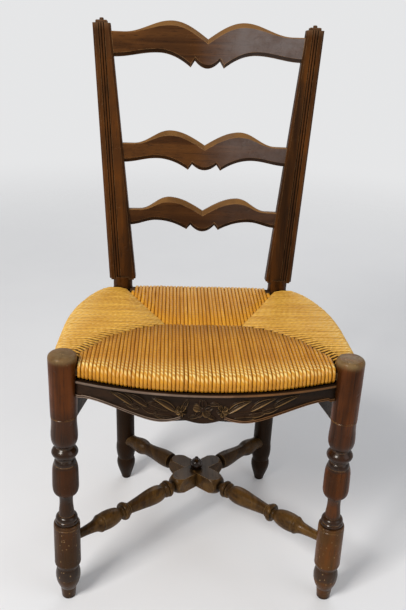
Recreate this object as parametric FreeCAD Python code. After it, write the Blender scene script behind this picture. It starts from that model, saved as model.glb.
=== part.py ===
import FreeCAD, Part
import math
import os

# Ladderback side chair with a rush seat, all sizes in millimetres.
# X points to the right as seen from in front, Y to the back and Z up.
# Shapes are laid out from the front leg axes (y = 0), and at the end the whole chair
# is moved along Y so that its origin is the middle of its footprint on the floor.

Vector = FreeCAD.Vector

# Overall layout
FRONT_LEG_SPREAD = 447.0
FRONT_LEG_SPLAY = 0.5
REAR_FOOT_SPREAD = 291.0
REAR_NECK_SPREAD = 303.0
LEG_DEPTH = 350.0
SEAT_HEIGHT = 467.0
SEAT_DROP = 13.0
SHOULDER_HEIGHT = 469.0
POST_TOP_HEIGHT = 930.0
POST_RAKE = 64.5
GLUE_GAP = 0.15

# Front leg turning, from the floor up
FOOT_TIP_RADIUS = 11.8
FOOT_TOP_RADIUS = 13.8
FOOT_HEIGHT = 22.0
BALL_RADIUS = 21.4
BALL_HEIGHT = 44.5
GROOVE_RADIUS = 17.8
GROOVE_WIDTH = 2.5
BLOCK_RADIUS = 22.4
BLOCK_HEIGHT = 90.0
CUP_RADIUS = 19.4
CUP_HEIGHT = 17.0
SLENDER_RADIUS = 12.1
SLENDER_HEIGHT = 42.0
BARREL_RADIUS = 21.9
BARREL_HEIGHT = 70.0
RING_RADIUS = 21.8
RING_HEIGHT = 18.0
RING_NECK_RADIUS = 15.2
RING_NECK_HEIGHT = 3.8
BULB_RADIUS = 21.9
BULB_HEIGHT = 55.0
BULB_WAIST_RADIUS = 20.7
LEG_TOP_RADIUS = 22.7
DOME_RISE = 9.0
LEG_STANDS_PROUD = 16.0
SCRIBE_DEPTH = 0.7

# Rear post, turned part below the seat
REAR_TIP_RADIUS = 9.6
REAR_TIP_HEIGHT = 30.0
REAR_BULB_RADIUS = 19.2
REAR_BULB_HEIGHT = 22.0
REAR_GROOVE_RADIUS = 16.8
REAR_LEG_RADIUS = 18.8
REAR_NECK_RADIUS = 18.2

# Rear post, flat part above the seat
POST_WIDTH_LOW = 49.5
POST_WIDTH_HIGH = 31.7
POST_INNER_LOW = 126.7
POST_INNER_HIGH = 176.1
POST_DEPTH_LOW = 28.0
POST_DEPTH_HIGH = 22.0
POST_CHAMFER = 3.6
POST_BACK_CHAMFER = 2.0
POST_BEAD_WIDTH = 4.2
POST_BEAD_DEPTH = 2.2
POST_GROOVE_FROM_EDGE = 15.5
COLLAR_WIDTH = 43.0
COLLAR_HEIGHT = 2.5
CAP_WIDTH = 21.0
CAP_DEPTH = 15.0
CAP_HEIGHT = 5.2
CAP_ROUND = 2.4
BUTTON_RADIUS = 3.8
BUTTON_HEIGHT = 4.0

# Slats: shared outline, along the slat from its middle
SLAT_THICKNESS = 15.0
SLAT_BOW = 12.0
SLAT_SETBACK = 7.0
HUMP_PLACE = 66.0
ARCH_PLACE = 90.0
CUSP_PLACE = 30.5
NOTCH_PLACE = 23.0
SLAT_LEVEL_END = 20.0
TOP_CHAMFER = 8.5
TOP_CHAMFER_AT_END = 1.5
BOTTOM_CHAMFER = 6.5
SLAT_TENON_THICKNESS = 8.0
SLAT_TENON_LENGTH = 20.0
SLAT_TENON_SHOULDER = 4.0

# Slats: each one's level as a share of the post's length, then heights from that level
TOP_SLAT = {"share_up": 0.87907, "end": 43.3, "hump": 65.7, "dip": 35.8,
            "arch": 9.8, "cusp": -14.3, "notch": -2.2, "lobe": -15.5}
MIDDLE_SLAT = {"share_up": 0.47649, "end": 34.9, "hump": 59.1, "dip": 33.1,
               "arch": 7.7, "cusp": -12.7, "notch": -2.4, "lobe": -12.9}
LOWER_SLAT = {"share_up": 0.22321, "end": 30.3, "hump": 52.5, "dip": 27.1,
              "arch": 8.7, "cusp": -8.5, "notch": 0.3, "lobe": -12.3}

# Seat: outer edge of the rush, right half, from the front middle to the rear middle
SEAT_EDGE = [(0.0, -50.0), (105.0, -39.5), (188.0, -13.0), (228.0, 8.0), (244.0, 95.0),
             (239.0, 195.0), (217.0, 283.0), (180.0, 339.0), (130.0, 353.0), (0.0, 356.0)]
SEAT_THICKNESS = 28.0
SEAT_ROUND_TOP = 11.0
SEAT_ROUND_UNDER = 9.0
RUSH_OVER_RAIL = 5.0
RUSH_ROUND_RAIL = 7.0
RAIL_WIDTH = 22.0
RAIL_THICKNESS = 18.0
RAIL_TENON_WIDTH = 14.0
RAIL_TENON_HEIGHT = 12.0
STUFFING_THICKNESS = 15.0
SEAM_TIP = (66.0, 163.0)
FRONT_MITRE = [(200.0, 42.0), (160.0, 109.0), (112.0, 146.0)]
REAR_MITRE = [(134.0, 313.0), (102.0, 240.0)]

# Aprons
THROUGH_CUT = 240.0
APRON_THICKNESS = 14.0
APRON_BOW = 49.5
APRON_FACE_AT_LEG = 3.5
APRON_END_HEIGHT = 34.0
APRON_VALLEY_DEPTH = 17.0
APRON_CUSP_DEPTH = 9.5
APRON_LOBE_DEPTH = 17.0
APRON_SHIFT = -6.0
VALLEY_PLACE = 66.0
APRON_CUSP_PLACE = 35.0
SHALLOW_PLACE = 142.0
TOP_BEAD_HEIGHT = 6.0
TOP_BEAD_PROUD = 2.6
EDGE_FILLET_HEIGHT = 5.0
EDGE_FILLET_PROUD = 1.6
CARVING_PROUD = 2.4
ROSE_RADIUS = 12.0
LEAF_LENGTH = 27.0
LEAF_WIDTH = 9.0
SIDE_APRON_HEIGHT = 70.0
SIDE_APRON_THICKNESS = 18.0
SIDE_APRON_INSET = 10.0
APRON_TENON_THICKNESS = 9.0
APRON_TENON_SHOULDER = 4.0
APRON_TENON_SETBACK = 2.0

# Diagonal stretchers, radii and lengths outward from the crossing
STRETCHER_FRONT_HEIGHT = 121.0
STRETCHER_REAR_HEIGHT = 98.0
LAP_BLOCK_WIDTH = 31.0
LAP_BLOCK_HALF_LENGTH = 63.0
STRETCHER_TENON_RADIUS = 6.5
STRETCHER_TENON_DEPTH = 13.0
FINIAL_RADIUS = 12.2
FINIAL_HEIGHT = 19.5
FINIAL_TIP_RADIUS = 3.6
FINIAL_TIP_HEIGHT = 6.0
DOWEL_RADIUS = 5.0

# Values that follow from those above
HALF_FRONT = FRONT_LEG_SPREAD / 2.0
HALF_REAR_FOOT = REAR_FOOT_SPREAD / 2.0
HALF_REAR_NECK = REAR_NECK_SPREAD / 2.0
SEAT_RAKE = math.degrees(math.atan(SEAT_DROP / LEG_DEPTH))
SEAT_UNDERSIDE = SEAT_HEIGHT - SEAT_THICKNESS
RAIL_TOP = SEAT_HEIGHT - RUSH_OVER_RAIL
RAIL_MIDDLE = RAIL_TOP - RAIL_THICKNESS / 2.0
POST_BASE = Vector(0.0, LEG_DEPTH, SHOULDER_HEIGHT)
POST_LEAN = math.degrees(math.atan(POST_RAKE / (POST_TOP_HEIGHT - SHOULDER_HEIGHT)))
POST_LENGTH = math.hypot(POST_RAKE, POST_TOP_HEIGHT - SHOULDER_HEIGHT)
LEG_RIM_HEIGHT = SEAT_HEIGHT + LEG_STANDS_PROUD - DOME_RISE


# Small helpers

def polyline(points):
    """Edges that join the points with straight lines."""
    return [Part.makeLine(a, b) for a, b in zip(points[:-1], points[1:])]


def spline(points):
    """One smooth edge through the points."""
    curve = Part.BSplineCurve()
    curve.interpolate(points)
    return curve.toShape()


def prism(edges, direction):
    """The solid swept by a flat closed outline along a direction."""
    return Part.Face(Part.Wire(edges)).extrude(direction)


def box(x0, x1, y0, y1, z0, z1):
    """A box between two corners."""
    return Part.makeBox(x1 - x0, y1 - y0, z1 - z0, Vector(x0, y0, z0))


def mirrored(shape):
    """The same shape on the other side of the chair."""
    return shape.mirror(Vector(0, 0, 0), Vector(1, 0, 0))


def tilted_with_seat(shape):
    """Turn a piece laid out level so that it follows the seat, which drops to the back."""
    turned_shape = shape.copy()
    turned_shape.rotate(Vector(0, 0, SEAT_HEIGHT), Vector(1, 0, 0), -SEAT_RAKE)
    return turned_shape


def leaned_back(shape):
    """Put a piece laid out in the back's own frame, height along the posts, in its place."""
    placed = shape.copy()
    placed.rotate(Vector(0, 0, 0), Vector(1, 0, 0), -POST_LEAN)
    placed.translate(POST_BASE)
    return placed


def turned(stretches):
    """A turned solid round Z. Each stretch is a list of (radius, height): a line or a curve."""
    edges = []
    first = Vector(stretches[0][0][0], 0, stretches[0][0][1])
    last = Vector(stretches[-1][-1][0], 0, stretches[-1][-1][1])
    for stretch in stretches:
        points = [Vector(radius, 0, height) for radius, height in stretch]
        edges += polyline(points) if len(points) == 2 else [spline(points)]
    low = Vector(0, 0, first.z)
    high = Vector(0, 0, last.z)
    edges += polyline([last, high, low, first])
    face = Part.Face(Part.Wire(Part.__sortEdges__(edges)))
    return face.revolve(Vector(0, 0, 0), Vector(0, 0, 1), 360)


def along(shape, start, end):
    """Stand a shape made along Z so that it runs from start towards end."""
    placed = shape.copy()
    placed.Placement = FreeCAD.Placement(start, frame_along(start, end))
    return placed


def frame_along(start, end):
    """A rotation that takes Z along the line and keeps X level."""
    forward = (end - start).normalize()
    level = Vector(0, 0, 1).cross(forward).normalize()
    upward = forward.cross(level)
    return FreeCAD.Rotation(level, upward, forward, "ZXY")


# Front legs

def foot_and_block_profile(ball_top, block_low, block_top):
    """The lowest stretches of the front leg: tapered foot, ball, groove and long block."""
    scribe = block_top - 6.0
    return [
        [(FOOT_TIP_RADIUS - 1.5, -1.0), (FOOT_TIP_RADIUS, 1.5)],
        [(FOOT_TIP_RADIUS, 1.5), (FOOT_TOP_RADIUS, FOOT_HEIGHT)],
        [(FOOT_TOP_RADIUS, FOOT_HEIGHT), (BALL_RADIUS * 0.83, FOOT_HEIGHT + BALL_HEIGHT * 0.2),
         (BALL_RADIUS, FOOT_HEIGHT + BALL_HEIGHT * 0.62), (GROOVE_RADIUS, ball_top)],
        [(GROOVE_RADIUS, ball_top), (GROOVE_RADIUS, ball_top + GROOVE_WIDTH)],
        [(GROOVE_RADIUS, ball_top + GROOVE_WIDTH),
         (BLOCK_RADIUS * 0.94, block_low + 1.5), (BLOCK_RADIUS, block_low + 10.0)],
        [(BLOCK_RADIUS, block_low + 10.0), (BLOCK_RADIUS, scribe - 0.8)],
        [(BLOCK_RADIUS, scribe - 0.8), (BLOCK_RADIUS - SCRIBE_DEPTH, scribe)],
        [(BLOCK_RADIUS - SCRIBE_DEPTH, scribe), (BLOCK_RADIUS, scribe + 0.8)],
        [(BLOCK_RADIUS, scribe + 0.8), (BLOCK_RADIUS * 0.98, block_top - 1.5)],
        [(BLOCK_RADIUS * 0.98, block_top - 1.5), (BLOCK_RADIUS * 0.93, block_top)],
    ]


def cup_and_barrel_profile(block_top, cup_top, slender_top, barrel_top):
    """The middle stretches of the front leg: cup rings, slender neck and barrel."""
    band = barrel_top - 9.5
    return [
        [(BLOCK_RADIUS * 0.93, block_top), (CUP_RADIUS * 0.95, block_top + 0.8)],
        [(CUP_RADIUS * 0.95, block_top + 0.8), (CUP_RADIUS, block_top + 3.5),
         (CUP_RADIUS * 0.96, block_top + 6.5)],
        [(CUP_RADIUS * 0.96, block_top + 6.5), (CUP_RADIUS * 0.91, block_top + 7.5)],
        [(CUP_RADIUS * 0.91, block_top + 7.5), (CUP_RADIUS * 0.95, block_top + 10.0),
         (CUP_RADIUS * 0.87, cup_top - 3.0), (SLENDER_RADIUS + 1.0, cup_top)],
        [(SLENDER_RADIUS + 1.0, cup_top), (SLENDER_RADIUS, cup_top + SLENDER_HEIGHT * 0.3),
         (SLENDER_RADIUS + 0.3, slender_top - 3.0), (SLENDER_RADIUS + 1.2, slender_top)],
        [(SLENDER_RADIUS + 1.2, slender_top), (BARREL_RADIUS * 0.9, slender_top + 5.0),
         (BARREL_RADIUS * 0.985, slender_top + 12.0), (BARREL_RADIUS, slender_top + 22.0),
         (BARREL_RADIUS * 0.985, barrel_top - 30.0), (BARREL_RADIUS * 0.94, barrel_top - 15.5),
         (BARREL_RADIUS * 0.87, band)],
        [(BARREL_RADIUS * 0.87, band), (BARREL_RADIUS * 0.87 - SCRIBE_DEPTH, band + 0.6)],
        [(BARREL_RADIUS * 0.87 - SCRIBE_DEPTH, band + 0.6),
         (BARREL_RADIUS * 0.8, barrel_top - 4.0), (RING_NECK_RADIUS, barrel_top)],
    ]


def ring_and_bulb_profile(barrel_top, ring_low, ring_top, bulb_low, scribe):
    """The upper stretches of the front leg: ring between two necks, and bulb."""
    return [
        [(RING_NECK_RADIUS, barrel_top), (RING_NECK_RADIUS, ring_low)],
        [(RING_NECK_RADIUS, ring_low), (RING_RADIUS * 0.9, ring_low + RING_HEIGHT * 0.2),
         (RING_RADIUS, ring_low + RING_HEIGHT * 0.5),
         (RING_RADIUS * 0.9, ring_low + RING_HEIGHT * 0.8), (RING_NECK_RADIUS + 1.2, ring_top)],
        [(RING_NECK_RADIUS + 1.2, ring_top), (RING_NECK_RADIUS, ring_top + 1.2)],
        [(RING_NECK_RADIUS, ring_top + 1.2), (RING_NECK_RADIUS, bulb_low)],
        [(RING_NECK_RADIUS, bulb_low), (BULB_RADIUS * 0.87, bulb_low + BULB_HEIGHT * 0.08),
         (BULB_RADIUS * 0.97, bulb_low + BULB_HEIGHT * 0.2), (BULB_RADIUS, bulb_low + BULB_HEIGHT * 0.38),
         (BULB_WAIST_RADIUS, bulb_low + BULB_HEIGHT * 0.75), (BULB_WAIST_RADIUS + 0.5, scribe)],
    ]


def shaft_profile(scribe):
    """The topmost stretches of the front leg: plain shaft and flattened dome."""
    rim = LEG_RIM_HEIGHT
    shaft = rim - scribe
    start = BULB_WAIST_RADIUS + 0.5
    return [
        [(start, scribe), (start - SCRIBE_DEPTH, scribe + 0.8)],
        [(start - SCRIBE_DEPTH, scribe + 0.8), (start + 0.2, scribe + 2.4)],
        [(start + 0.2, scribe + 2.4), (LEG_TOP_RADIUS * 0.965, scribe + shaft * 0.4),
         (LEG_TOP_RADIUS, rim)],
        [(LEG_TOP_RADIUS, rim), (LEG_TOP_RADIUS * 0.94, rim + DOME_RISE * 0.5),
         (LEG_TOP_RADIUS * 0.78, rim + DOME_RISE * 0.8)],
        [(LEG_TOP_RADIUS * 0.78, rim + DOME_RISE * 0.8), (LEG_TOP_RADIUS * 0.4, rim + DOME_RISE * 0.96),
         (0.4, rim + DOME_RISE)],
    ]


def front_leg_profile(extra=0.0):
    """The front leg's turning from the floor up, as stretches of (radius, height)."""
    ball_top = FOOT_HEIGHT + BALL_HEIGHT
    block_low = ball_top + GROOVE_WIDTH * 2.0
    block_top = block_low + BLOCK_HEIGHT
    cup_top = block_top + CUP_HEIGHT
    slender_top = cup_top + SLENDER_HEIGHT
    barrel_top = slender_top + BARREL_HEIGHT
    ring_low = barrel_top + RING_NECK_HEIGHT
    ring_top = ring_low + RING_HEIGHT
    bulb_low = ring_top + RING_NECK_HEIGHT
    scribe = bulb_low + BULB_HEIGHT
    stretches = foot_and_block_profile(ball_top, block_low, block_top)
    stretches += cup_and_barrel_profile(block_top, cup_top, slender_top, barrel_top)
    stretches += ring_and_bulb_profile(barrel_top, ring_low, ring_top, bulb_low, scribe)
    stretches += shaft_profile(scribe)
    return [[(radius + extra, height) for radius, height in stretch] for stretch in stretches]


def front_leg_axis(height):
    """The middle of the right front leg at a height."""
    out = (SEAT_HEIGHT - height) * math.tan(math.radians(FRONT_LEG_SPLAY))
    return Vector(HALF_FRONT + out, 0, height)


def front_leg(extra=0.0):
    """The right front leg, grown by extra all round when it is used as a cutter."""
    leg = turned(front_leg_profile(extra))
    leg.translate(Vector(HALF_FRONT, 0, 0))
    leg.rotate(Vector(HALF_FRONT, 0, SEAT_HEIGHT), Vector(0, 1, 0), -FRONT_LEG_SPLAY)
    below_floor = box(0, HALF_FRONT * 2, -HALF_FRONT, HALF_FRONT, -20.0, 0.0)
    return leg.cut(below_floor)


# Rear posts

def rear_leg_axis(height):
    """The middle of the right rear leg's turned part at a height."""
    share = height / SHOULDER_HEIGHT
    return Vector(HALF_REAR_FOOT + (HALF_REAR_NECK - HALF_REAR_FOOT) * share, LEG_DEPTH, height)


def rear_leg(extra=0.0):
    """The turned part of the right rear post, from the floor to just inside the flat part."""
    bulb_low = REAR_TIP_HEIGHT
    bulb_top = REAR_TIP_HEIGHT + REAR_BULB_HEIGHT
    length = (rear_leg_axis(SHOULDER_HEIGHT) - rear_leg_axis(0)).Length
    neck = length - SEAT_DROP - 8.0
    stretches = [
        [(REAR_TIP_RADIUS - 1.5, -0.5), (REAR_TIP_RADIUS, 1.5)],
        [(REAR_TIP_RADIUS, 1.5), (REAR_TIP_RADIUS * 1.3, REAR_TIP_HEIGHT * 0.4),
         (REAR_BULB_RADIUS * 0.93, bulb_low), (REAR_BULB_RADIUS, bulb_low + REAR_BULB_HEIGHT * 0.4),
         (REAR_GROOVE_RADIUS, bulb_top)],
        [(REAR_GROOVE_RADIUS, bulb_top), (REAR_LEG_RADIUS * 0.95, bulb_top + 4.0),
         (REAR_LEG_RADIUS, bulb_top + 40.0)],
        [(REAR_LEG_RADIUS, bulb_top + 40.0), (REAR_LEG_RADIUS, neck)],
        [(REAR_LEG_RADIUS, neck), (REAR_NECK_RADIUS, neck + 3.0)],
        [(REAR_NECK_RADIUS, neck + 3.0), (REAR_NECK_RADIUS, length + 5.0)],
    ]
    grown = [[(radius + extra, height) for radius, height in stretch] for stretch in stretches]
    leg = along(turned(grown), rear_leg_axis(0), rear_leg_axis(SHOULDER_HEIGHT))
    below_floor = box(0, HALF_FRONT * 2, 0, LEG_DEPTH * 2, -20.0, 0.0)
    return leg.cut(below_floor)


def post_edges_at(height):
    """Inner and outer edge of the flat part, measured from the chair's middle."""
    share = height / POST_LENGTH
    inner = POST_INNER_LOW + (POST_INNER_HIGH - POST_INNER_LOW) * share
    width = POST_WIDTH_LOW + (POST_WIDTH_HIGH - POST_WIDTH_LOW) * share
    return inner, inner + width


def post_section(height, inward=0.0):
    """Outline of the flat part at a height: chamfers, and two beads beside a V groove."""
    inner, outer = post_edges_at(height)
    inner -= inward
    share = height / POST_LENGTH
    depth = POST_DEPTH_LOW + (POST_DEPTH_HIGH - POST_DEPTH_LOW) * share
    front = -depth / 2.0
    back = depth / 2.0
    groove = outer - POST_GROOVE_FROM_EDGE
    bead = POST_BEAD_WIDTH
    sunk = front + POST_BEAD_DEPTH
    corner = POST_CHAMFER
    rear_corner = POST_BACK_CHAMFER

    def at(x, y):
        return Vector(x, y, height)

    edges = polyline([at(inner, front + corner), at(inner + corner, front),
                      at(groove - bead - 1.4, front), at(groove - bead - 0.7, sunk),
                      at(groove - bead, front + 0.8)])
    edges.append(Part.Arc(at(groove - bead, front + 0.8), at(groove - bead * 0.55, front),
                          at(groove - 0.8, front + 0.8)).toShape())
    edges += polyline([at(groove - 0.8, front + 0.8), at(groove, sunk), at(groove + 0.8, front + 0.8)])
    edges.append(Part.Arc(at(groove + 0.8, front + 0.8), at(groove + bead * 0.55, front),
                          at(groove + bead, front + 0.8)).toShape())
    edges += polyline([at(groove + bead, front + 0.8), at(groove + bead + 0.7, sunk),
                       at(groove + bead + 1.4, front), at(outer - corner, front),
                       at(outer, front + corner), at(outer, back - rear_corner),
                       at(outer - rear_corner, back), at(inner + rear_corner, back),
                       at(inner, back - rear_corner), at(inner, front + corner)])
    return Part.Wire(edges)


def post_blade(inward=0.0):
    """The flat part of the right post without its cap, in the back's own frame."""
    return Part.makeLoft([post_section(0.0, inward), post_section(POST_LENGTH, inward)], True, True)


def post_cap():
    """The stepped block and button on top of a post, in the back's own frame."""
    inner, outer = post_edges_at(POST_LENGTH)
    middle = (inner + outer) / 2.0
    block = box(middle - CAP_WIDTH / 2.0, middle + CAP_WIDTH / 2.0, -CAP_DEPTH / 2.0, CAP_DEPTH / 2.0,
                POST_LENGTH - 1.0, POST_LENGTH + CAP_HEIGHT)
    top_edges = [edge for edge in block.Edges
                 if abs(edge.CenterOfMass.z - (POST_LENGTH + CAP_HEIGHT)) < 0.01]
    block = block.makeFillet(CAP_ROUND, top_edges)
    button = Part.makeCylinder(BUTTON_RADIUS, BUTTON_HEIGHT + 1.0,
                               Vector(middle, 0, POST_LENGTH + CAP_HEIGHT - 1.0))
    rim = [edge for edge in button.Edges
           if edge.Closed and edge.CenterOfMass.z > POST_LENGTH + CAP_HEIGHT]
    return block.fuse(button.makeFillet(BUTTON_HEIGHT * 0.4, rim))


def post_collar():
    """The narrow step between the flat part and the round neck."""
    inner, outer = post_edges_at(0.0)
    middle = (inner + outer) / 2.0
    depth = POST_DEPTH_LOW * 0.94
    return box(middle - COLLAR_WIDTH / 2.0, middle + COLLAR_WIDTH / 2.0,
               -depth / 2.0, depth / 2.0, -COLLAR_HEIGHT, 1.0)


def rear_post():
    """The right rear post as one solid, without its mortises."""
    back_part = leaned_back(post_blade().fuse([post_cap(), post_collar()]))
    return back_part.fuse(rear_leg()).removeSplitter()


# Slats

def slat_level(slat):
    """Height up the post from which a slat's own heights are measured."""
    return slat["share_up"] * POST_LENGTH


def slat_half_length(slat):
    """Half the length of a slat between the posts, at the middle of its ends."""
    inner, _ = post_edges_at(slat_level(slat) + slat["end"] / 2.0)
    return inner


def slat_swing(slat, x):
    """Share of the way from the level end (0) up to the hump (1), out beyond the hump."""
    run = slat_half_length(slat) - SLAT_LEVEL_END - HUMP_PLACE
    return 0.5 + 0.5 * math.cos(math.pi * min(1.0, (x - HUMP_PLACE) / run))


def slat_top(slat, x):
    """Height of the upper edge: a hump each side of a sharp dip in the middle."""
    if x < HUMP_PLACE:
        return slat["dip"] + (slat["hump"] - slat["dip"]) * math.sin(math.pi / 2.0 * x / HUMP_PLACE)
    return slat["end"] + (slat["hump"] - slat["end"]) * slat_swing(slat, x)


def slat_bottom(slat, x):
    """Height of the lower edge: a lobe in the middle, a cusp, then an arch out to the post."""
    reach = slat_half_length(slat)
    if x < NOTCH_PLACE:
        return slat["lobe"] + (slat["notch"] - slat["lobe"]) * (x / NOTCH_PLACE) ** 2
    if x < CUSP_PLACE:
        share = (x - NOTCH_PLACE) / (CUSP_PLACE - NOTCH_PLACE)
        return slat["notch"] + (slat["cusp"] - slat["notch"]) * share
    if x < ARCH_PLACE:
        share = (ARCH_PLACE - x) / (ARCH_PLACE - CUSP_PLACE)
        return slat["arch"] + (slat["cusp"] - slat["arch"]) * share ** 2
    share = min(1.0, (x - ARCH_PLACE) / (reach - ARCH_PLACE))
    return slat["arch"] * (0.5 + 0.5 * math.cos(math.pi * share))


def slat_chamfer(slat, x):
    """Height of the bevel along the upper front edge, widest on the humps."""
    if x < HUMP_PLACE:
        return TOP_CHAMFER
    return TOP_CHAMFER_AT_END + (TOP_CHAMFER - TOP_CHAMFER_AT_END) * slat_swing(slat, x)


def slat_front(slat, x):
    """Depth of the slat's front face, which bows to the back between the posts."""
    reach = slat_half_length(slat)
    return -SLAT_SETBACK + SLAT_BOW * (1.0 - (x / reach) ** 2)


def slat_section(slat, x):
    """Six-sided outline of a slat at a place along it."""
    front = slat_front(slat, x)
    back = front + SLAT_THICKNESS
    low = slat_level(slat) + slat_bottom(slat, x)
    high = slat_level(slat) + slat_top(slat, x)
    bevel = slat_chamfer(slat, x)
    bevel_depth = bevel * 0.95
    corners = [Vector(x, front + BOTTOM_CHAMFER * 0.7, low), Vector(x, front, low + BOTTOM_CHAMFER),
               Vector(x, front, high - bevel), Vector(x, front + bevel_depth, high),
               Vector(x, back, high), Vector(x, back, low)]
    return Part.Wire(polyline(corners + corners[:1]))


def slat_half(slat):
    """The right half of a slat, running into the post."""
    reach = slat_half_length(slat) + 8.0
    level = slat_half_length(slat) - SLAT_LEVEL_END
    bends = [0.0, NOTCH_PLACE, CUSP_PLACE, HUMP_PLACE, ARCH_PLACE, level, reach]
    steps = [4, 1, 3, 2, 5, 2]
    pieces = []
    for start, end, count in zip(bends[:-1], bends[1:], steps):
        sections = [slat_section(slat, start + (end - start) * i / count) for i in range(count + 1)]
        pieces.append(Part.makeLoft(sections, True, count == 1))
    return pieces[0].multiFuse(pieces[1:])


def slat_tenon(slat, gap=0.0):
    """The tongue that goes into the right post, grown by gap to make its mortise."""
    reach = slat_half_length(slat)
    middle = slat_front(slat, reach) + SLAT_THICKNESS / 2.0
    half = SLAT_TENON_THICKNESS / 2.0 + gap
    low = slat_level(slat) + SLAT_TENON_SHOULDER - gap
    high = slat_level(slat) + slat["end"] - SLAT_TENON_SHOULDER + gap
    return box(reach - 6.0, reach + SLAT_TENON_LENGTH + gap, middle - half, middle + half, low, high)


def slat_body(slat):
    """A whole slat with both tongues, in its place."""
    shoulder_cutter = post_blade(GLUE_GAP)
    half = slat_half(slat).cut(shoulder_cutter)
    half = max(half.Solids, key=lambda solid: solid.Volume)
    half = half.fuse(slat_tenon(slat))
    whole = half.fuse(mirrored(half)).removeSplitter()
    return leaned_back(whole)


# Seat frame and rush

def seat_edge_points():
    """The rush's outer edge as a closed ring of points."""
    right = [Vector(x, y, 0) for x, y in SEAT_EDGE]
    left = [Vector(-x, y, 0) for x, y in SEAT_EDGE[-2:0:-1]]
    return right + left


def seat_pad():
    """The seat's outer shape, with its front and sides rolled over."""
    curve = Part.BSplineCurve()
    curve.interpolate(seat_edge_points(), PeriodicFlag=True)
    pad = Part.Face(Part.Wire(curve.toShape())).extrude(Vector(0, 0, SEAT_THICKNESS))
    pad.translate(Vector(0, 0, SEAT_UNDERSIDE))
    top = [edge for edge in pad.Edges if edge.Closed and abs(edge.CenterOfMass.z - SEAT_HEIGHT) < 0.01]
    pad = pad.makeFillet(SEAT_ROUND_TOP, top)
    under = [edge for edge in pad.Edges
             if edge.Closed and abs(edge.CenterOfMass.z - SEAT_UNDERSIDE) < 0.01]
    return pad.makeFillet(SEAT_ROUND_UNDER, under)


def moved_inward(points, distance):
    """Points of a run along the seat's edge, moved square to it towards the inside."""
    moved = []
    for index, point in enumerate(points):
        before = points[max(0, index - 1)]
        after = points[min(len(points) - 1, index + 1)]
        direction = (after - before).normalize()
        inward = Vector(-direction.y, direction.x, 0)
        moved.append(point + inward * distance)
    return moved


def curved_rail(points, gap=0.0):
    """A seat rail that follows a run along the seat's edge, laid out level."""
    outer = moved_inward(points, RUSH_ROUND_RAIL - gap)
    inner = moved_inward(points, RUSH_ROUND_RAIL + RAIL_WIDTH + gap)
    low = Vector(0, 0, RAIL_TOP - RAIL_THICKNESS - gap)
    outer = [point + low for point in outer]
    inner = [point + low for point in inner]
    edges = [spline(outer), Part.makeLine(outer[-1], inner[-1]),
             spline(inner[::-1]), Part.makeLine(inner[0], outer[0])]
    return prism(edges, Vector(0, 0, RAIL_THICKNESS + gap * 2.0))


def front_rail_points():
    """The run of the seat's edge that the front rail follows, from leg to leg."""
    right = [Vector(x, y, 0) for x, y in SEAT_EDGE[:3]]
    right.append(Vector(HALF_FRONT - 15.0, -6.0, 0))
    return [Vector(-point.x, point.y, 0) for point in right[:0:-1]] + right


def side_rail_points():
    """The run of the seat's edge that the right side rail follows, from leg to post."""
    first = Vector(HALF_FRONT + 9.0, 12.0, 0)
    last = Vector(HALF_REAR_NECK + 14.0, LEG_DEPTH + 2.0, 0)
    return [first] + [Vector(x, y, 0) for x, y in SEAT_EDGE[4:8]] + [last]


def rail_tenon(start, direction, length, gap=0.0):
    """A flat tongue on a seat rail's end, grown by gap to make its mortise."""
    tongue = Part.makeBox(length + gap, RAIL_TENON_WIDTH + gap * 2.0, RAIL_TENON_HEIGHT + gap * 2.0)
    tongue.translate(Vector(0, -RAIL_TENON_WIDTH / 2.0 - gap, -RAIL_TENON_HEIGHT / 2.0 - gap))
    tongue.rotate(Vector(0, 0, 0), Vector(0, 0, 1), math.degrees(math.atan2(direction.y, direction.x)))
    tongue.translate(Vector(start.x, start.y, RAIL_MIDDLE))
    return tongue


def front_rail_tenon(gap=0.0):
    """The front rail's right tongue."""
    start = Vector(HALF_FRONT - LEG_TOP_RADIUS - 4.0, -1.0, 0)
    return tilted_with_seat(rail_tenon(start, Vector(1, 0, 0), LEG_TOP_RADIUS, gap))


def side_rail_front_tenon(gap=0.0):
    """The right side rail's tongue in the front leg, short to clear the front rail's."""
    start = Vector(HALF_FRONT + 1.0, LEG_TOP_RADIUS + 6.0, 0)
    return tilted_with_seat(rail_tenon(start, Vector(0, -1, 0), 19.0, gap))


def side_rail_rear_tenon(gap=0.0):
    """The right side rail's tongue in the rear post."""
    axis = rear_leg_axis(SEAT_HEIGHT - SEAT_DROP)
    start = Vector(axis.x + 6.0, axis.y - REAR_LEG_RADIUS - 5.0, 0)
    return tilted_with_seat(rail_tenon(start, Vector(0, 1, 0), 17.0, gap))


def rear_rail_tenon(gap=0.0):
    """The rear rail's right tongue."""
    axis = rear_leg_axis(SEAT_HEIGHT - SEAT_DROP)
    start = Vector(axis.x - REAR_LEG_RADIUS - 4.0, axis.y - 3.0, 0)
    return tilted_with_seat(rail_tenon(start, Vector(1, 0, 0), REAR_LEG_RADIUS, gap))


def front_seat_rail(gap=0.0):
    """The bowed rail under the front of the rush."""
    rail = tilted_with_seat(curved_rail(front_rail_points(), gap))
    cutter = front_leg(GLUE_GAP)
    rail = rail.cut([cutter, mirrored(cutter)])
    rail = max(rail.Solids, key=lambda solid: solid.Volume)
    return rail.fuse([front_rail_tenon(gap), mirrored(front_rail_tenon(gap))]).removeSplitter()


def side_seat_rail(gap=0.0):
    """The bowed rail under the right side of the rush."""
    rail = tilted_with_seat(curved_rail(side_rail_points(), gap))
    rail = rail.cut([front_leg(GLUE_GAP), rear_leg(GLUE_GAP)])
    rail = max(rail.Solids, key=lambda solid: solid.Volume)
    return rail.fuse([side_rail_front_tenon(gap), side_rail_rear_tenon(gap)]).removeSplitter()


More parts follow.
